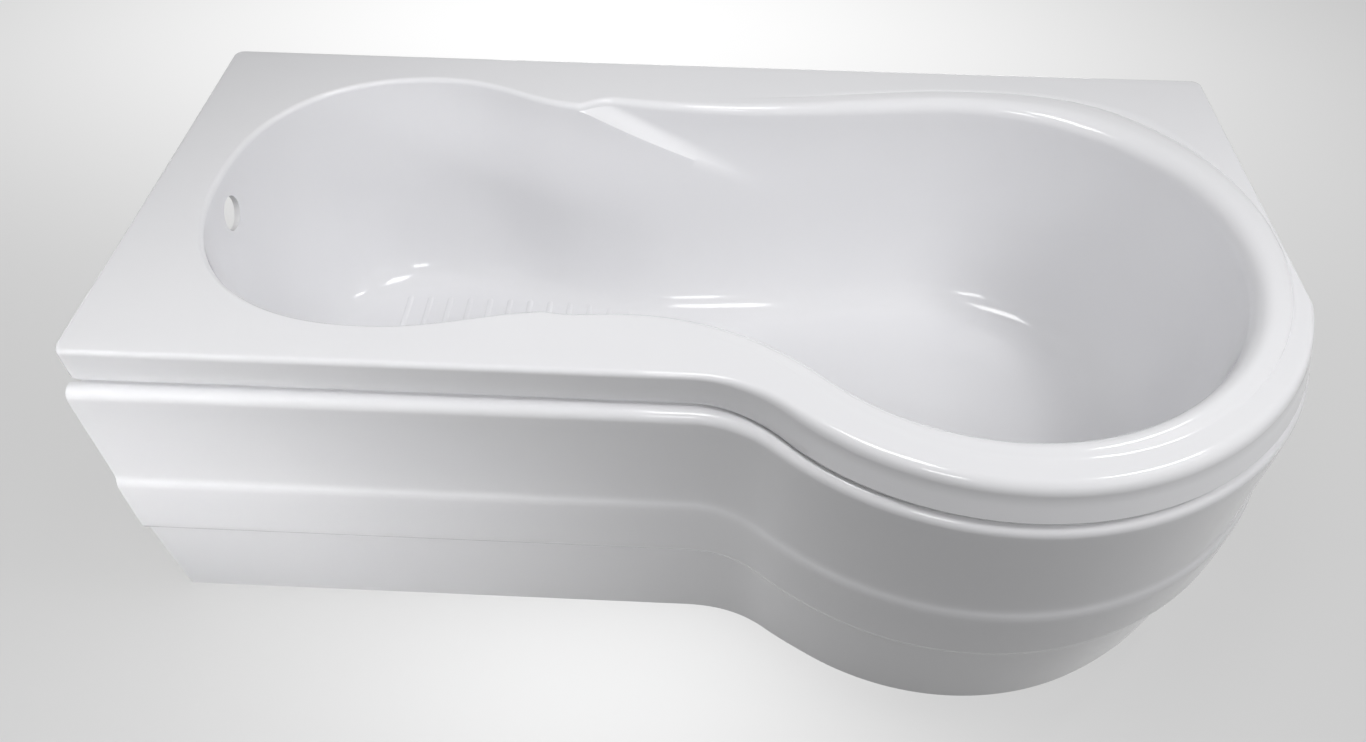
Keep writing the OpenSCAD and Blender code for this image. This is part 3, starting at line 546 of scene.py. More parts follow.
def thickness_at(points):
    """Wall thickness of the shell at points: thicker round the waste and the overflow."""
    waste = np.linalg.norm(points[:, :2] - WASTE_AT, axis=1) - WASTE_DIAMETER / 2
    waste = np.where(points[:, 2] < WASTE_TOP_Z, waste, FAR_OFF)
    tap_wall = TAP_CENTRE[0] - TAP_RADIUS + TAP_WALL_DEPTH
    side = np.hypot(points[:, 1] - TAP_CENTRE[1], points[:, 2] - OVERFLOW_Z) - OVERFLOW_DIAMETER / 2
    side = np.where((points[:, 0] < tap_wall) & (points[:, 2] < OVERFLOW_TOP_Z), side, FAR_OFF)
    near = np.clip((PAD_MARGIN - np.minimum(waste, side)) / PAD_FADE, 0, 1)
    return SHELL_THICKNESS + PAD_GROWTH * near


def add_two_sided(obj, shown_points):
    """White acrylic on the shown side, glass fibre on every face that has only points of the hidden side."""
    obj.data.materials.append(MATERIALS["acrylic"]())
    obj.data.materials.append(MATERIALS["glass_fibre"]())
    for polygon in obj.data.polygons:
        polygon.material_index = 1 if min(polygon.vertices) >= shown_points else 0


def make_shell():
    fronts, backs = [], []
    for p, a in shell_rays():
        section = shell_section(p, a)
        shown = place(p, a, section)
        fronts.append(shown)
        backs.append(place(p, a, set_back(section, thickness_at(shown))))
    n, m = len(fronts), len(fronts[0])
    shell = mesh_object("shell_moulding", np.vstack(fronts + backs), skin_faces(n, m, True, False))
    add_two_sided(shell, n * m)
    tidy_mesh(shell, 10 * MERGE)
    overflow = (TAP_CENTRE[0] - TAP_RADIUS, TAP_CENTRE[1], OVERFLOW_Z)
    cut_round_hole(shell, (*WASTE_AT, FLOOR_Z), (0, 0, 1), WASTE_DIAMETER)
    cut_round_hole(shell, overflow, (1, 0, 0), OVERFLOW_DIAMETER)
    shell.data.set_sharp_from_angle(angle=math.radians(SHARP_ANGLE))
    dress(shell, "bath_body", "bath_acrylic", "bath_shell")


GRIP_COUNT = 12
GRIP_PITCH = 36
GRIP_FIRST_X = -528
GRIP_WIDTH = 11
GRIP_HEIGHT = 1.2
GRIP_REACH = 160
GRIP_ROOT = 1
GRIP_SINK = 0.05
GRIP_POWER = 2.5
GRIP_LENGTH_STEPS = 40
GRIP_WIDTH_STEPS = 8
GRIP_SHARP_ANGLE = 60


def grip_rings(x):
    """Rings of one bar across the floor at x, rounded in plan at both ends and closed below the floor."""
    across = [-1 + 2 * j / GRIP_WIDTH_STEPS for j in range(GRIP_WIDTH_STEPS + 1)]
    rings = []
    for v in [-1 + 2 * i / GRIP_LENGTH_STEPS for i in range(GRIP_LENGTH_STEPS + 1)]:
        end = min(1.0, (1 - abs(v)) * GRIP_REACH / (GRIP_WIDTH / 2))
        narrow = math.sqrt(max(0.0, 1 - (1 - end) ** 2))
        ring = [(u, FLOOR_Z + GRIP_HEIGHT * (1 - abs(u) ** GRIP_POWER) * narrow - GRIP_SINK) for u in across]
        ring += [(u, FLOOR_Z - GRIP_ROOT) for u in (1, -1)]
        rings.append([(x + u * GRIP_WIDTH / 2 * narrow, TAP_CENTRE[1] + v * GRIP_REACH, z) for u, z in ring])
    return rings


def make_floor_grips():
    """Low moulded bars across the floor at the tap end, as one piece."""
    bars = [tube(grip_rings(GRIP_FIRST_X + k * GRIP_PITCH)) for k in range(GRIP_COUNT)]
    grips = joined("floor_grips", bars)
    tidy_mesh(grips, sharp=GRIP_SHARP_ANGLE)
    grips.data.materials.append(MATERIALS["acrylic"]())
    dress(grips, "bath_body", "bath_acrylic")


# ---------- The front panel ----------

END_GAP = 2
PANEL_LEFT_X = LEFT_X + END_GAP
SWING_TURN = swing_radius(NARROW_WIDTH, BULGE_RADIUS, SWING_X)
SWING_CENTRE = np.array([SWING_X, WALL_Y - NARROW_WIDTH - SWING_TURN])
SWING_ANGLE = math.degrees(math.atan2(BULGE_CENTRE[1] - SWING_CENTRE[1], BULGE_CENTRE[0] - SWING_CENTRE[0]))
LEDGE_ROUND = 14  # the solid has 10
LEDGE_TURNS = (0, 18, 36, 54, 72, 90)
STEP_RISE = 7
LOWER_SHOULDER = 1.5
BAND_SHOULDER = 2
UPPER_SHOULDER = 1
FLANGE_SET = SHELL_THICKNESS + 5
FLANGE_BEND = 3
FLANGE_LIFT = 1
LOWER_TOP_Z = BAND_BOTTOM - 2 * STEP_RISE
LOWER_TOP = PANEL_STAND - 4
BAND_FRONT = PANEL_STAND + BAND_STAND
DRAW_TOP_Z = BAND_TOP - 2 * STEP_RISE
DRAW_FADE = 0.6
STRAIGHT_STEPS = 26
SWING_STEPS = 30
BULGE_TURN_STEPS = 96


def round_corners(line, rounds=2):
    """Chaikin corner cutting, with both ends kept."""
    for _ in range(rounds):
        a, b = line[:-1], line[1:]
        cut = np.stack([0.75 * a + 0.25 * b, 0.25 * a + 0.75 * b], axis=1).reshape(-1, line.shape[1])
        line = np.vstack([line[:1], cut[1:-1], line[-1:]])
    return line


def panel_section():
    """Section of the panel's shown side from its foot to its flange: (distance from the rim's line, height)."""
    foot = PANEL_STAND - FOOT_DRAW
    lower = [(foot, 0), (mix(foot, LOWER_TOP, 0.5), LOWER_TOP_Z / 2), (LOWER_TOP, LOWER_TOP_Z),
             (LOWER_TOP + LOWER_SHOULDER, BAND_BOTTOM - STEP_RISE / 2)]
    band = [(BAND_FRONT - BAND_SHOULDER, BAND_BOTTOM + STEP_RISE / 2),
            (BAND_FRONT, BAND_BOTTOM + 2 * STEP_RISE), (BAND_FRONT, (BAND_TOP + BAND_BOTTOM) / 2),
            (BAND_FRONT, DRAW_TOP_Z), (BAND_FRONT - BAND_SHOULDER, BAND_TOP - STEP_RISE / 2)]
    upper = [(PANEL_STAND + UPPER_SHOULDER, BAND_TOP + STEP_RISE / 2),
             (PANEL_STAND, BAND_TOP + 2 * STEP_RISE), (PANEL_STAND, mix(BAND_TOP, LEDGE_Z, 0.5))]
    ledge = [(PANEL_STAND - LEDGE_ROUND * (1 - cos(t)), LEDGE_Z - LEDGE_ROUND * (1 - sin(t)))
             for t in LEDGE_TURNS]
    bend = PANEL_THICKNESS - FLANGE_SET
    flange = [(bend + FLANGE_BEND, LEDGE_Z), (bend, LEDGE_Z + FLANGE_LIFT),
              (-FLANGE_SET, LEDGE_Z + PANEL_THICKNESS), (-FLANGE_SET, APRON_FOOT_Z + FLANGE_HEIGHT)]
    return round_corners(np.array(lower + band + upper + ledge + flange, float))


def straight_point(x, o, _draw):
    """Plan point at x on the straight front, o outside the rim's line."""
    least = LEFT_X + (CORNER_RADIUS + END_GAP if o < 0 else END_GAP)
    return np.array([max(x, least), WALL_Y - NARROW_WIDTH - o])


def swing_point(a, o, draw):
    """Plan point at heading a on the swing between the straight front and the bulge, drawn in by draw."""
    return SWING_CENTRE + (SWING_TURN - o + draw) * heading(a)


def bulge_point(s, o, draw):
    """Plan point at share s of the way round the bulge, drawn in by draw."""
    a = -math.degrees(math.acos((BULGE_INSET - END_GAP) / (BULGE_RADIUS + max(0, o))))
    return BULGE_CENTRE + (BULGE_RADIUS + o - draw) * heading(mix(SWING_ANGLE - 180, a, s))


def bulge_draw_share(s):
    """How much of the foot's draw the bulge has: it grows on the swing side and fades to the shower end."""
    if s > DRAW_FADE:
        return 1 - ease((s - DRAW_FADE) / (1 - DRAW_FADE))
    return bulge_share(bulge_point(s, 0, 0)[0])


def panel_rows(section):
    """The section placed along the panel's whole run."""
    stops = [(straight_point, x, 0) for x in steps(PANEL_LEFT_X, SWING_X, STRAIGHT_STEPS)]
    swing = steps(90, SWING_ANGLE, SWING_STEPS)
    stops += [(swing_point, a, bulge_share(SWING_X + SWING_TURN * cos(a))) for a in swing]
    turns = [i / BULGE_TURN_STEPS for i in range(BULGE_TURN_STEPS + 1)]
    stops += [(bulge_point, s, bulge_draw_share(s)) for s in turns]
    return [[(*point(at, o, BULGE_DRAW * share * max(0, 1 - z / DRAW_TOP_Z)), z) for o, z in section]
            for point, at, share in stops]


def make_panel():
    section = panel_section()
    front, back = panel_rows(section), panel_rows(set_back(section, PANEL_THICKNESS))
    n, m = len(front), len(section)
    points = np.vstack([np.array(front).reshape(-1, 3), np.array(back).reshape(-1, 3)])
    panel = mesh_object("panel_moulding", points, skin_faces(n, m, False, True))
    add_two_sided(panel, n * m)
    tidy_mesh(panel)
    dress(panel, "bath_body", "panel_acrylic", "front_panel")


# ---------- Materials ----------

def dress(obj, body, slot, *replaced):
    """Puts a new piece on the body it rides on and hides the solids it stands for; slot is not used."""
    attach(obj, body)
    if replaced:
        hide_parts(*replaced)


class Shade:
    """A material with one Principled shader and helpers that add and join nodes."""

    def __init__(self, name, **values):
        self.material = bpy.data.materials.new(name)
        self.material.use_nodes = True
        self.tree = self.material.node_tree
        self.shader = self.tree.nodes["Principled BSDF"]
        self.place = self.tree.nodes.new("ShaderNodeTexCoord").outputs["Object"]
        for key, value in values.items():
            self.shader.inputs[key.replace("_", " ")].default_value = value

    def node(self, kind, inputs=None, **settings):
        made = self.tree.nodes.new("ShaderNode" + kind)
        for key, value in settings.items():
            setattr(made, key, value)
        for key, value in (inputs or {}).items():
            if isinstance(value, bpy.types.NodeSocket):
                self.tree.links.new(value, made.inputs[key])
            else:
                made.inputs[key].default_value = value
        return made

    def scaled(self, x, y, z):
        return self.node("Mapping", {"Vector": self.place, "Scale": (x, y, z)}).outputs[0]

    def noise(self, scale, detail=2.0, roughness=0.5, vector=None, distortion=0.0):
        return self.node("TexNoise", {"Vector": vector or self.place, "Scale": scale, "Detail": detail,
                                      "Roughness": roughness, "Distortion": distortion}).outputs["Fac"]

    def ramp(self, fac, *stops):
        made = self.node("ValToRGB", {"Fac": fac})
        ramp = made.color_ramp
        while len(ramp.elements) < len(stops):
            ramp.elements.new(0.5)
        for element, (at, colour) in zip(ramp.elements, stops):
            element.position = at
            element.color = (*colour, 1)
        return made.outputs["Color"]

    def span(self, fac, low, high):
        return self.node("MapRange", {"Value": fac, "To Min": low, "To Max": high}).outputs["Result"]

    def math(self, operation, a, b=0.0):
        return self.node("Math", {0: a, 1: b}, operation=operation).outputs[0]

    def bump(self, height, distance, strength=1.0, normal=None):
        inputs = {"Height": height, "Distance": distance, "Strength": strength}
        if normal:
            inputs["Normal"] = normal
        return self.node("Bump", inputs).outputs["Normal"]

    def blend(self, fac, colour, other):
        """colour mixed with a plain other colour by fac."""
        return self.node("MixRGB", {"Fac": fac, "Color1": colour, "Color2": (*other, 1)}).outputs[0]

    def drive(self, socket, source):
        self.tree.links.new(source, self.shader.inputs[socket])


def grey(v):
    return (v, v, v)


def acrylic():
    """Glossy white sanitary acrylic: almost even, with a faint orange peel and a little wiping haze."""
    s = Shade("white_acrylic", IOR=1.49, Specular_IOR_Level=0.5, Coat_Weight=0.25, Coat_Roughness=0.03)
    mottle = s.noise(3.0, 3.0)
    s.drive("Base Color", s.ramp(mottle, (0.3, (0.825, 0.825, 0.846)), (0.7, (0.840, 0.840, 0.858))))
    s.drive("Roughness", s.span(s.noise(9.0, 4.0), 0.09, 0.17))
    s.drive("Normal", s.bump(s.noise(70.0, 1.0), 0.00012, 0.35))
    return s.material


def glass_fibre():
    """Hidden side: sprayed glass fibre and resin, off white, with strands and runs."""
    s = Shade("glass_fibre_resin", IOR=1.52)
    cells = s.node("TexVoronoi", {"Vector": s.place, "Scale": 90.0}, feature="DISTANCE_TO_EDGE")
    strands = cells.outputs["Distance"]
    threads = s.noise(160.0, 5.0, 0.65, distortion=1.6)
    blotch = s.noise(7.0, 3.0)
    colour = s.ramp(blotch, (0.25, (0.60, 0.57, 0.47)), (0.6, (0.70, 0.68, 0.58)), (0.85, (0.76, 0.75, 0.68)))
    s.drive("Base Color", s.blend(s.span(threads, 0.0, 0.6), colour, (0.80, 0.79, 0.73)))
    s.drive("Roughness", s.span(threads, 0.35, 0.62))
    lumps = s.bump(s.noise(22.0, 3.0), 0.0016, 0.7)
    fibres = s.bump(threads, 0.0007, 0.8, lumps)
    s.drive("Normal", s.bump(strands, 0.0002, 0.35, fibres))
    return s.material


def softwood():
    """Sawn pine: long grain along X, growth bands, and fuzz from the saw."""
    s = Shade("sawn_softwood", IOR=1.45)
    bent = s.noise(2.2, 2.0)
    waves = {"Vector": s.scaled(1.5, 22, 22), "Scale": 1.6, "Distortion": 5.0, "Detail": 3.0, "Detail Scale": 1.3}
    rings = s.node("TexWave", waves, wave_type="BANDS", bands_direction="Y").outputs["Fac"]
    fibre = s.noise(1.0, 6.0, 0.6, s.scaled(14, 420, 420))
    colour = s.ramp(rings, (0.0, (0.68, 0.50, 0.30)), (0.55, (0.60, 0.42, 0.23)), (1.0, (0.40, 0.24, 0.11)))
    worn = s.blend(s.span(fibre, 0.0, 0.45), colour, (0.76, 0.60, 0.40))
    tone = s.node("HueSaturation", {"Value": s.span(bent, 0.85, 1.1), "Color": worn})
    s.drive("Base Color", tone.outputs[0])
    s.drive("Roughness", s.span(fibre, 0.6, 0.85))
    s.drive("Normal", s.bump(fibre, 0.0004, 0.6, s.bump(rings, 0.0003, 0.4)))
    return s.material


def chipboard():
    """Sealed chipboard: flat chips of several tones under a thin coat of resin."""
    s = Shade("sealed_chipboard", IOR=1.48, Coat_Weight=0.15, Coat_Roughness=0.3)
    chips = s.node("TexVoronoi", {"Vector": s.scaled(1, 1.7, 3), "Scale": 130.0}, feature="F1")
    tone = s.node("SeparateColor", {"Color": chips.outputs["Color"]}).outputs[0]
    dust = s.noise(400.0, 3.0)
    colour = s.ramp(tone, (0.0, (0.36, 0.24, 0.12)), (0.4, (0.52, 0.37, 0.20)), (0.75, (0.64, 0.49, 0.30)),
                    (1.0, (0.74, 0.61, 0.42)))
    s.drive("Base Color", s.blend(s.span(dust, 0.0, 0.3), colour, (0.45, 0.33, 0.2)))
    s.drive("Roughness", s.span(dust, 0.45, 0.75))
    s.drive("Normal", s.bump(tone, 0.0004, 0.5, s.bump(dust, 0.0002, 0.4)))
    return s.material


def zinc_plate(name, tone, rough):
    """Zinc plated steel: soft spangle, fine scratches and a little white bloom."""
    s = Shade(name, Metallic=1.0, IOR=2.0)
    spangle = s.node("TexVoronoi", {"Vector": s.place, "Scale": 60.0}, feature="F1")
    cell = s.node("SeparateColor", {"Color": spangle.outputs["Color"]}).outputs[1]
    bloom = s.noise(30.0, 5.0, 0.6)
    low, high = [tuple(c * k for c in tone) for k in (0.86, 1.05)]
    base = s.ramp(cell, (0.0, low), (1.0, high))
    s.drive("Base Color", s.blend(s.span(bloom, -0.15, 0.35), base, (0.62, 0.63, 0.64)))
    s.drive("Roughness", s.span(bloom, rough - 0.07, rough + 0.13))
    scratches = s.noise(1.0, 5.0, 0.7, s.scaled(60, 900, 300))
    s.drive("Normal", s.bump(scratches, 0.00006, 0.5))
    return s.material


def foot_plastic():
    """Black moulded plastic with a fine spark grain and scuffs spread over it."""
    s = Shade("moulded_plastic", IOR=1.5)
    grain = s.noise(1400.0, 2.0)
    scuff = s.noise(60.0, 5.0, 0.7)
    s.drive("Base Color", s.ramp(scuff, (0.35, (0.030, 0.030, 0.032)), (0.75, (0.055, 0.055, 0.058))))
    s.drive("Roughness", s.span(scuff, 0.42, 0.62))
    s.drive("Normal", s.bump(grain, 0.00008, 0.6))
    return s.material


def once(make, *arguments):
    """One material of each kind, made at its first use."""
    kept = []

    def get():
        if not kept:
            kept.append(make(*arguments))
        return kept[0]
    return get


# The last six are named as the record's slots are.
MATERIALS = {
    "acrylic": once(acrylic),
    "glass_fibre": once(glass_fibre),
    "softwood": once(softwood),
    "base_board": once(chipboard),
    "bracket_steel": once(zinc_plate, "zinc_plated_bracket", (0.56, 0.57, 0.58), 0.36),
    "rod_steel": once(zinc_plate, "zinc_plated_rod", (0.60, 0.60, 0.58), 0.30),
    "screw_steel": once(zinc_plate, "yellow_plated_screw", (0.66, 0.60, 0.42), 0.26),
    "foot_plastic": once(foot_plastic),
}


def dress_cad_nodes():
    """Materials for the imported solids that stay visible, by their slot in the record."""
    slots = {part["node"]: part["material_slot"] for part in frame["record"]["subparts"]}
    for name, obj in frame["nodes"].items():
        if slots.get(name) in MATERIALS:
            obj.data.materials.clear()
            obj.data.materials.append(MATERIALS[slots[name]]())


# ---------- Rods, nuts and screws ----------

ROD_PITCH = 1.75
ROD_THREAD = 0.9
ROD_CHAMFER = 1.5
TOOTH_SLOPE = 1.7
TOOTH_FLOOR = 0.35
NUT_FLATS = 19
NUT_HEIGHT = 10
NUT_CHAMFER_HEIGHTS = [0, 0.45, 0.9, 1.3]
NUT_CORNER_CUT = 0.35
NUT_CHAMFER_ANGLE = 30
NUT_BORE = 6.05
NUT_SINK = 0.9
NUT_SINK_DEPTH = 0.8
NUT_SIDES = 72
SCREW_DIAMETER = 4.5
SCREW_LENGTH = 16
SCREW_HEAD = 9
SCREW_HEAD_HEIGHT = 2.5
SCREW_HEAD_TAPER = 0.7
SCREW_PITCH = 1.8
SCREW_THREAD = 0.8
RECESS_REACH = 2.3
RECESS_WIDTH = 0.55
RECESS_DEPTH = 1.5
RECESS_FADE = 0.25
HEAD_CROWN = 0.04
HEAD_RADII = (0.05, 0.3, 0.6, 0.9, 1.2, 1.5, 1.8, 2.1, 2.4, 2.7)
HEAD_TURNS = (0, 30, 60, 90)
HEAD_START = 0.999  # keeps the side's first ring off the crown's last
HEAD_TOLERANCE = 0.1
SCREW_POINT = 0.3
SCREW_SIDES = 48
SCREW_STEPS = 6
HARDWARE_MERGE = MERGE / 10
HARDWARE_SHARP_ANGLE = 30


def islands(obj):
    """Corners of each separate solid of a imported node, in millimetres."""
    work = bmesh.new()
    work.from_mesh(obj.data)
    bmesh.ops.remove_doubles(work, verts=work.verts, dist=MERGE)
    left, found = set(work.verts), []
    while left:
        todo, solid = [left.pop()], []
        while todo:
            v = todo.pop()
            solid.append([c / MM for c in v.co])
            for edge in v.link_edges:
                other = edge.other_vert(v)
                if other in left:
                    left.remove(other)
                    todo.append(other)
        found.append(np.array(solid))
    work.free()
    return sorted(found, key=lambda solid: tuple(np.round(solid.mean(axis=0), 1)))


def tube(rows, closed=False):
    """Points and faces of rings of points, capped at both ends or joined from last to first."""
    n, m = len(rows), len(rows[0])
    faces = []
    for i in range(n if closed else n - 1):
        for j in range(m):
            a, b = i * m + j, i * m + (j + 1) % m
            c, d = (i + 1) % n * m + (j + 1) % m, (i + 1) % n * m + j
            faces.append((a, b, c, d))
    if not closed:
        faces.append(tuple(reversed(range(m))))
        faces.append(tuple(range((n - 1) * m, n * m)))
    return np.array(rows).reshape(-1, 3), faces


def helix(low, high, radius, pitch, depth, end_radius, sides=20, per_turn=5):
    """Rings of a threaded bar along Z; its last turn fades to end_radius."""
    rows = []
    n = math.ceil((high - low) / pitch * per_turn)
    for i in range(n + 1):
        z = mix(low, high, i / n)
        row = []
        for j in range(sides):
            phase = ((z - low) / pitch - j / sides) % 1
            tooth = clamp(TOOTH_SLOPE * abs(2 * phase - 1) - TOOTH_FLOOR)
            cone = end_radius + (high - z)
            r = min(radius - depth * (1 - tooth), cone)
            row.append((r * cos(360 * j / sides), r * sin(360 * j / sides), z))
        rows.append(row)
    return rows


def nut_rings(low):
    """Closed rings of a chamfered hexagon nut with a countersunk bore, from its foot at low."""
    rows = []
    for z in NUT_CHAMFER_HEIGHTS + [NUT_HEIGHT - z for z in reversed(NUT_CHAMFER_HEIGHTS)]:
        end = min(z, NUT_HEIGHT - z)
        cone = NUT_FLATS / 2 - NUT_CORNER_CUT + end / math.tan(math.radians(NUT_CHAMFER_ANGLE))
        row = []
        for j in range(NUT_SIDES):
            a = 360 * j / NUT_SIDES
            r = min(NUT_FLATS / 2 / cos(a % 60 - 30), cone)
            row.append((r * cos(a), r * sin(a), low + z))
        rows.append(row)
    for z in (NUT_HEIGHT, NUT_HEIGHT - NUT_SINK_DEPTH, NUT_SINK_DEPTH, 0):
        r = NUT_BORE + (NUT_SINK if z in (0, NUT_HEIGHT) else 0)
        turns = [360 * j / NUT_SIDES for j in range(NUT_SIDES)]
        rows.append([(r * cos(a), r * sin(a), low + z) for a in turns])
    return rows


def recess_ring(r, z, recess=0.0):
    """One ring of a screw, sunk by recess inside the cross."""
    ring = []
    for j in range(SCREW_SIDES):
        x, y = r * cos(360 * j / SCREW_SIDES), r * sin(360 * j / SCREW_SIDES)
        arm = max(min(abs(x), abs(y)) / RECESS_WIDTH, max(abs(x), abs(y)) / RECESS_REACH)
        ring.append((x, y, z + recess * clamp((1 + RECESS_FADE - arm) / RECESS_FADE)))
    return ring


def screw_rings():
    """Rings of a pan head wood screw along Z: head below zero with a cross recess, shank above it."""
    low, top = SCREW_HEAD / 2 * SCREW_HEAD_TAPER, -SCREW_HEAD_HEIGHT + HEAD_CROWN
    crown = [recess_ring(r, -SCREW_HEAD_HEIGHT + HEAD_CROWN * (r / low) ** 2, RECESS_DEPTH) for r in HEAD_RADII]
    side = [recess_ring(mix(low, SCREW_HEAD / 2, sin(t)), mix(0, top, cos(t) * HEAD_START))
            for t in HEAD_TURNS]
    shank = helix(0.0, SCREW_LENGTH, SCREW_DIAMETER / 2, SCREW_PITCH, SCREW_THREAD, SCREW_POINT,
                  SCREW_SIDES, SCREW_STEPS)
    return crown + side + shank


def joined(name, shapes):
    """One mesh of several shapes, each given as its points and faces."""
    points, faces = [], []
    for shape_points, shape_faces in shapes:
        start = sum(len(p) for p in points)
        points.append(shape_points)
        faces += [tuple(start + k for k in face) for face in shape_faces]
    return mesh_object(name, np.vstack(points), faces)


def dress_hardware(name, shapes, slot):
    """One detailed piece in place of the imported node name; its material is named as its slot is."""
    obj = joined(name + "_detail", shapes)
    tidy_mesh(obj, HARDWARE_MERGE, HARDWARE_SHARP_ANGLE)
    obj.data.materials.append(MATERIALS[slot]())
    dress(obj, body_of(frame["nodes"][name])[0], slot, name)


def make_rods():
    for name in frame["nodes"]:
        if name.startswith("threaded_rod_"):
            low, high = [np.array(corner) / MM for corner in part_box(name)]
            radius = (high[0] - low[0]) / 2
            points, faces = tube(helix(low[2], high[2], radius, ROD_PITCH, ROD_THREAD, radius - ROD_CHAMFER))
            centre = np.array([*(low + high)[:2] / 2, 0])
            dress_hardware(name, [(points + centre, faces)], "rod_steel")


def make_nuts():
    for name, node in frame["nodes"].items():
        if name.startswith("rod_nuts_"):
            shapes = []
            for solid in islands(node):
                low, high = solid.min(axis=0), solid.max(axis=0)
                points, faces = tube(nut_rings(low[2]), True)
                shapes.append((points + np.array([*(low + high)[:2] / 2, 0]), faces))
            dress_hardware(name, shapes, "rod_steel")


def screw_shape(solid):
    """A detailed screw in place of one packed screw, with its head on the same side."""
    low, high = solid.min(axis=0), solid.max(axis=0)
    middle = (low + high) / 2
    axis = int(np.argmax(high - low))
    across = np.delete(solid - middle, axis, axis=1)
    head_z = solid[np.linalg.norm(across, axis=1) > SCREW_HEAD / 2 - HEAD_TOLERANCE][:, axis].mean()
    way = np.zeros(3)
    way[axis] = 1 if head_z < middle[axis] else -1
    turn = np.array(Vector((0, 0, 1)).rotation_difference(Vector(way)).to_matrix())
    seat = middle.copy()
    seat[axis] = head_z
    points, faces = tube(screw_rings())
    return points @ turn.T + seat, faces


def make_screws():
    for name, node in frame["nodes"].items():
        if name.endswith("_screws"):
            dress_hardware(name, [screw_shape(solid) for solid in islands(node)], "screw_steel")


# ---------- Stage, lights and camera ----------

CAMERA_PLACE = (0.013, -1.1265, 1.482)
CAMERA_YAW = -2.06
CAMERA_PITCH = 47.45
CAMERA_ROLL = 0.70
FOCAL_PIXELS = 1060
FRAME_WIDTH = 1366  # pixels
SENSOR_WIDTH = 36


def make_camera():
    """The camera that was solved from the rim's outline in the photograph."""
    level = cos(CAMERA_PITCH)
    forward = Vector((sin(CAMERA_YAW) * level, cos(CAMERA_YAW) * level, -sin(CAMERA_PITCH)))
    right = Vector((cos(CAMERA_YAW), -sin(CAMERA_YAW), 0))
    up = right.cross(forward)
    across = right * cos(CAMERA_ROLL) + up * sin(CAMERA_ROLL)
    upright = up * cos(CAMERA_ROLL) - right * sin(CAMERA_ROLL)
    data = bpy.data.cameras.new("camera")
    data.sensor_width = SENSOR_WIDTH
    data.lens = FOCAL_PIXELS / FRAME_WIDTH * SENSOR_WIDTH
    camera = link(bpy.data.objects.new("camera", data))
    turned = Matrix((across, upright, -forward)).transposed().to_4x4()
    turned.translation = CAMERA_PLACE
    camera.matrix_world = turned
    bpy.context.scene.camera = camera


FLOOR_REACH = 9.0
FLOOR_GREY = 0.2
FLOOR_MOTTLE = 0.01
GLOW_BASE = 0.46
# Strength, centre and reach of the two soft patches of painted light, in metres.
GLOW_WIDE = (0.48, (-0.40, 1.50), (1.70, 0.91))
GLOW_NEAR = (0.27, (-0.09, -0.41), (0.45, 0.30))


def glow(s, strength, centre, reach):
    """A soft elliptic patch of light about centre."""
    x, y, _ = s.node("SeparateXYZ", {"Vector": s.place}).outputs
    terms = []
    for along, middle, size in ((x, centre[0], reach[0]), (y, centre[1], reach[1])):
        part = s.math("DIVIDE", s.math("SUBTRACT", along, middle), size)
        terms.append(s.math("MULTIPLY", part, part))
    fall = s.math("MULTIPLY", s.math("ADD", *terms), -1.0)
    return s.math("MULTIPLY", s.math("EXPONENT", fall), strength)


def make_floor():
    """Pale floor with two painted pools of light. The paleness and the painted light are seen by camera, glossy
    and transmission rays, and the shadow stays.
    """
    r = FLOOR_REACH
    floor = link(bpy.data.objects.new("studio_floor", bpy.data.meshes.new("studio_floor")))
    floor.data.from_pydata([(-r, -r, 0), (r, -r, 0), (r, r, 0), (-r, r, 0)], [], [(0, 1, 2, 3)])
    s = Shade("studio_floor", Roughness=0.9, Specular_IOR_Level=0.1)
    dark, light = grey(FLOOR_GREY - FLOOR_MOTTLE), grey(FLOOR_GREY + FLOOR_MOTTLE)
    s.drive("Base Color", s.ramp(s.noise(0.8, 2.0), (0.3, dark), (0.7, light)))
    ray = s.node("LightPath").outputs
    mirrored = s.math("MAXIMUM", ray["Is Glossy Ray"], ray["Is Transmission Ray"])
    seen = s.math("MAXIMUM", ray["Is Camera Ray"], mirrored)
    # painted light: two soft glowing patches added to the even paleness, not lit by any lamp
    pale_and_painted_glow = s.math("ADD", s.math("ADD", glow(s, *GLOW_WIDE), glow(s, *GLOW_NEAR)), GLOW_BASE)
    s.drive("Emission Strength", s.math("MULTIPLY", seen, pale_and_painted_glow))
    s.shader.inputs["Emission Color"].default_value = (1, 1, 1, 1)
    floor.data.materials.append(s.material)


def area_light(name, at, target, size, power, mirrored, spread=180):
    """A soft lamp in metres and watts; only a mirrored one shows as a highlight on the acrylic."""
    data = bpy.data.lights.new(name, "AREA")
    data.shape = "RECTANGLE"
    data.size, data.size_y = size
    data.energy = power
    data.spread = math.radians(spread)
    light = link(bpy.data.objects.new(name, data))
    light.location = at
    light.rotation_euler = (Vector(target) - Vector(at)).to_track_quat("-Z", "Y").to_euler()
    light.visible_glossy = mirrored


WORLD_FILL = 0.02
WORLD_PALE = 0.5
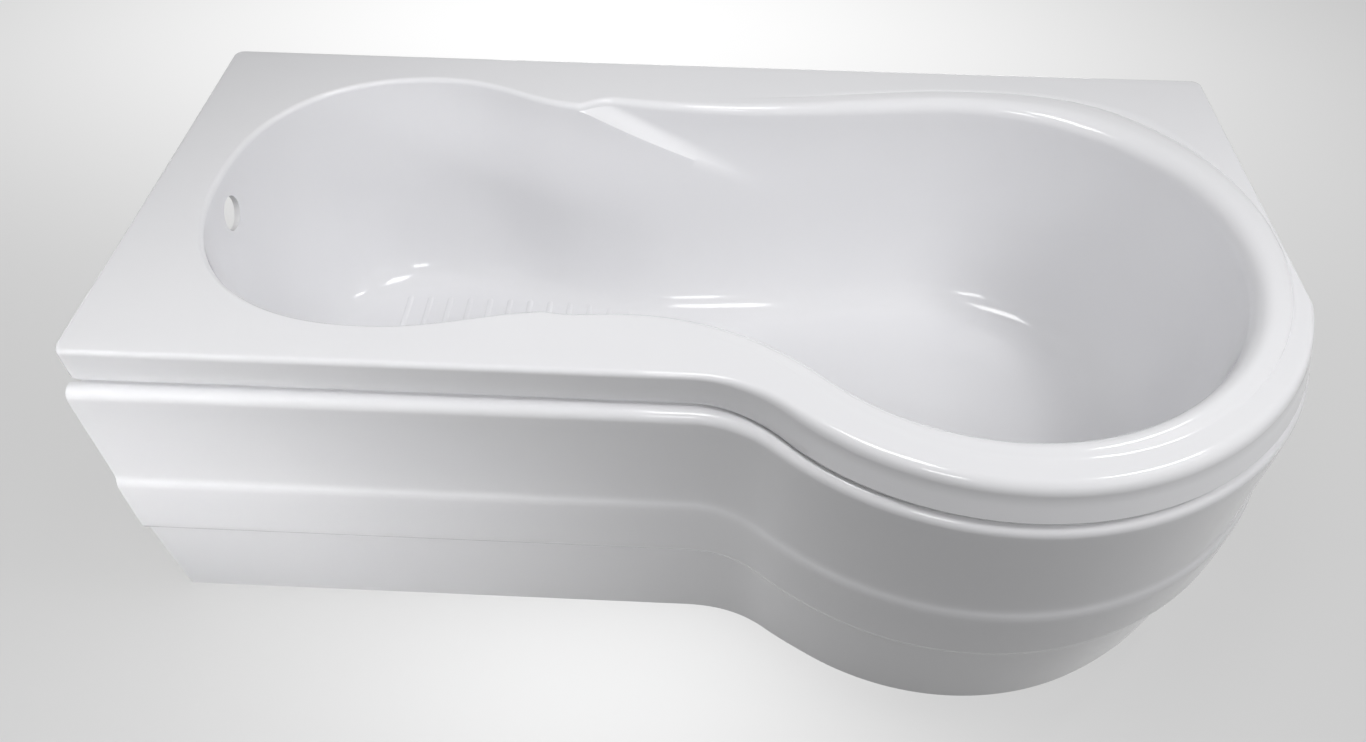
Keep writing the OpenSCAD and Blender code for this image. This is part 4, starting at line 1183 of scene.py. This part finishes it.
# Each lamp's place, target, size, power, whether it is mirrored, and its spread where it is narrow.
SOFTBOXES = {
    "over_middle": ((0.1, -0.3, 1.9), (0.1, 0.1, 0.3), (0.5, 0.4), 5.6, True),
    "panel_left": ((-1.35, -1.2, 0.8), (-0.75, -0.35, 0.25), (0.4, 0.4), 0.72, False, 45),
    "panel_middle": ((-0.5, -1.7, 0.9), (-0.4, -0.35, 0.25), (0.6, 0.4), 0.27, False, 40),
    "over_tap_end": ((-0.5, 0.05, 1.8), (-0.5, 0.0, 0.2), (0.8, 0.6), 5.3, False),
    "front_right": ((1.8, -1.6, 1.9), (0.3, 0.0, 0.3), (1.0, 1.0), 11.2, False),
    "right_high": ((1.7, -0.3, 2.0), (0.5, 0.0, 0.3), (0.7, 0.7), 12.0, False),
    "tap_corner": ((-1.7, -0.9, 0.9), (-0.6, -0.3, 0.2), (0.5, 0.5), 5.0, False),
    "front_left": ((-1.8, -1.6, 1.9), (-0.3, 0.0, 0.3), (0.7, 0.7), 3.6, False),
    "right_far": ((3.0, -1.0, 1.6), (0.4, 0.0, 0.3), (1.0, 1.0), 3.0, False),
    "back_strip": ((0.0, 1.3, 1.1), (0.0, 0.2, 0.4), (2.2, 0.3), 2.1, False),
    "back_fill": ((0.3, 3.4, 0.42), (0.0, 0.0, 0.3), (2.6, 0.4), 15.5, True),
    "tap_end_fill": ((-3.4, 0.9, 0.42), (-0.5, 0.1, 0.3), (1.2, 0.4), 6.8, False),
    "window_middle": ((0.05, -1.9, 2.2), (0.0, 0.0, 0.3), (0.5, 0.3), 4.2, True),
    "window_left": ((-1.8, -1.6, 1.9), (-0.3, 0.0, 0.3), (0.35, 0.35), 2.7, True),
    "window_right": ((1.8, -1.6, 1.9), (0.3, 0.0, 0.3), (0.35, 0.35), 2.7, True),
    "window_ring": ((1.35, 0.2, 2.0), (0.5, -0.35, 0.53), (0.12, 0.45), 3.2, True),
}


def make_lights():
    for name, setting in SOFTBOXES.items():
        area_light("softbox_" + name, *setting)


def make_world():
    """Pale surroundings for camera, glossy and transmission rays. They add almost no light to the object."""
    world = bpy.data.worlds.new("studio")
    world.use_nodes = True
    tree = world.node_tree
    ray = tree.nodes.new("ShaderNodeLightPath").outputs
    seen = ray["Is Camera Ray"]
    for name in ("Is Glossy Ray", "Is Transmission Ray"):
        either = tree.nodes.new("ShaderNodeMath")
        either.operation = "MAXIMUM"
        tree.links.new(seen, either.inputs[0])
        tree.links.new(ray[name], either.inputs[1])
        seen = either.outputs[0]
    span = tree.nodes.new("ShaderNodeMapRange")
    span.inputs["To Min"].default_value = WORLD_FILL
    span.inputs["To Max"].default_value = WORLD_PALE
    tree.links.new(seen, span.inputs["Value"])
    background = tree.nodes["Background"]
    background.inputs["Color"].default_value = (1, 1, 1, 1)
    tree.links.new(span.outputs["Result"], background.inputs["Strength"])
    bpy.context.scene.world = world


make_shell()
make_floor_grips()
make_panel()
make_rods()
make_nuts()
make_screws()
dress_cad_nodes()
make_floor()
make_lights()
make_world()
make_camera()
bpy.context.scene.view_settings.view_transform = "Standard"
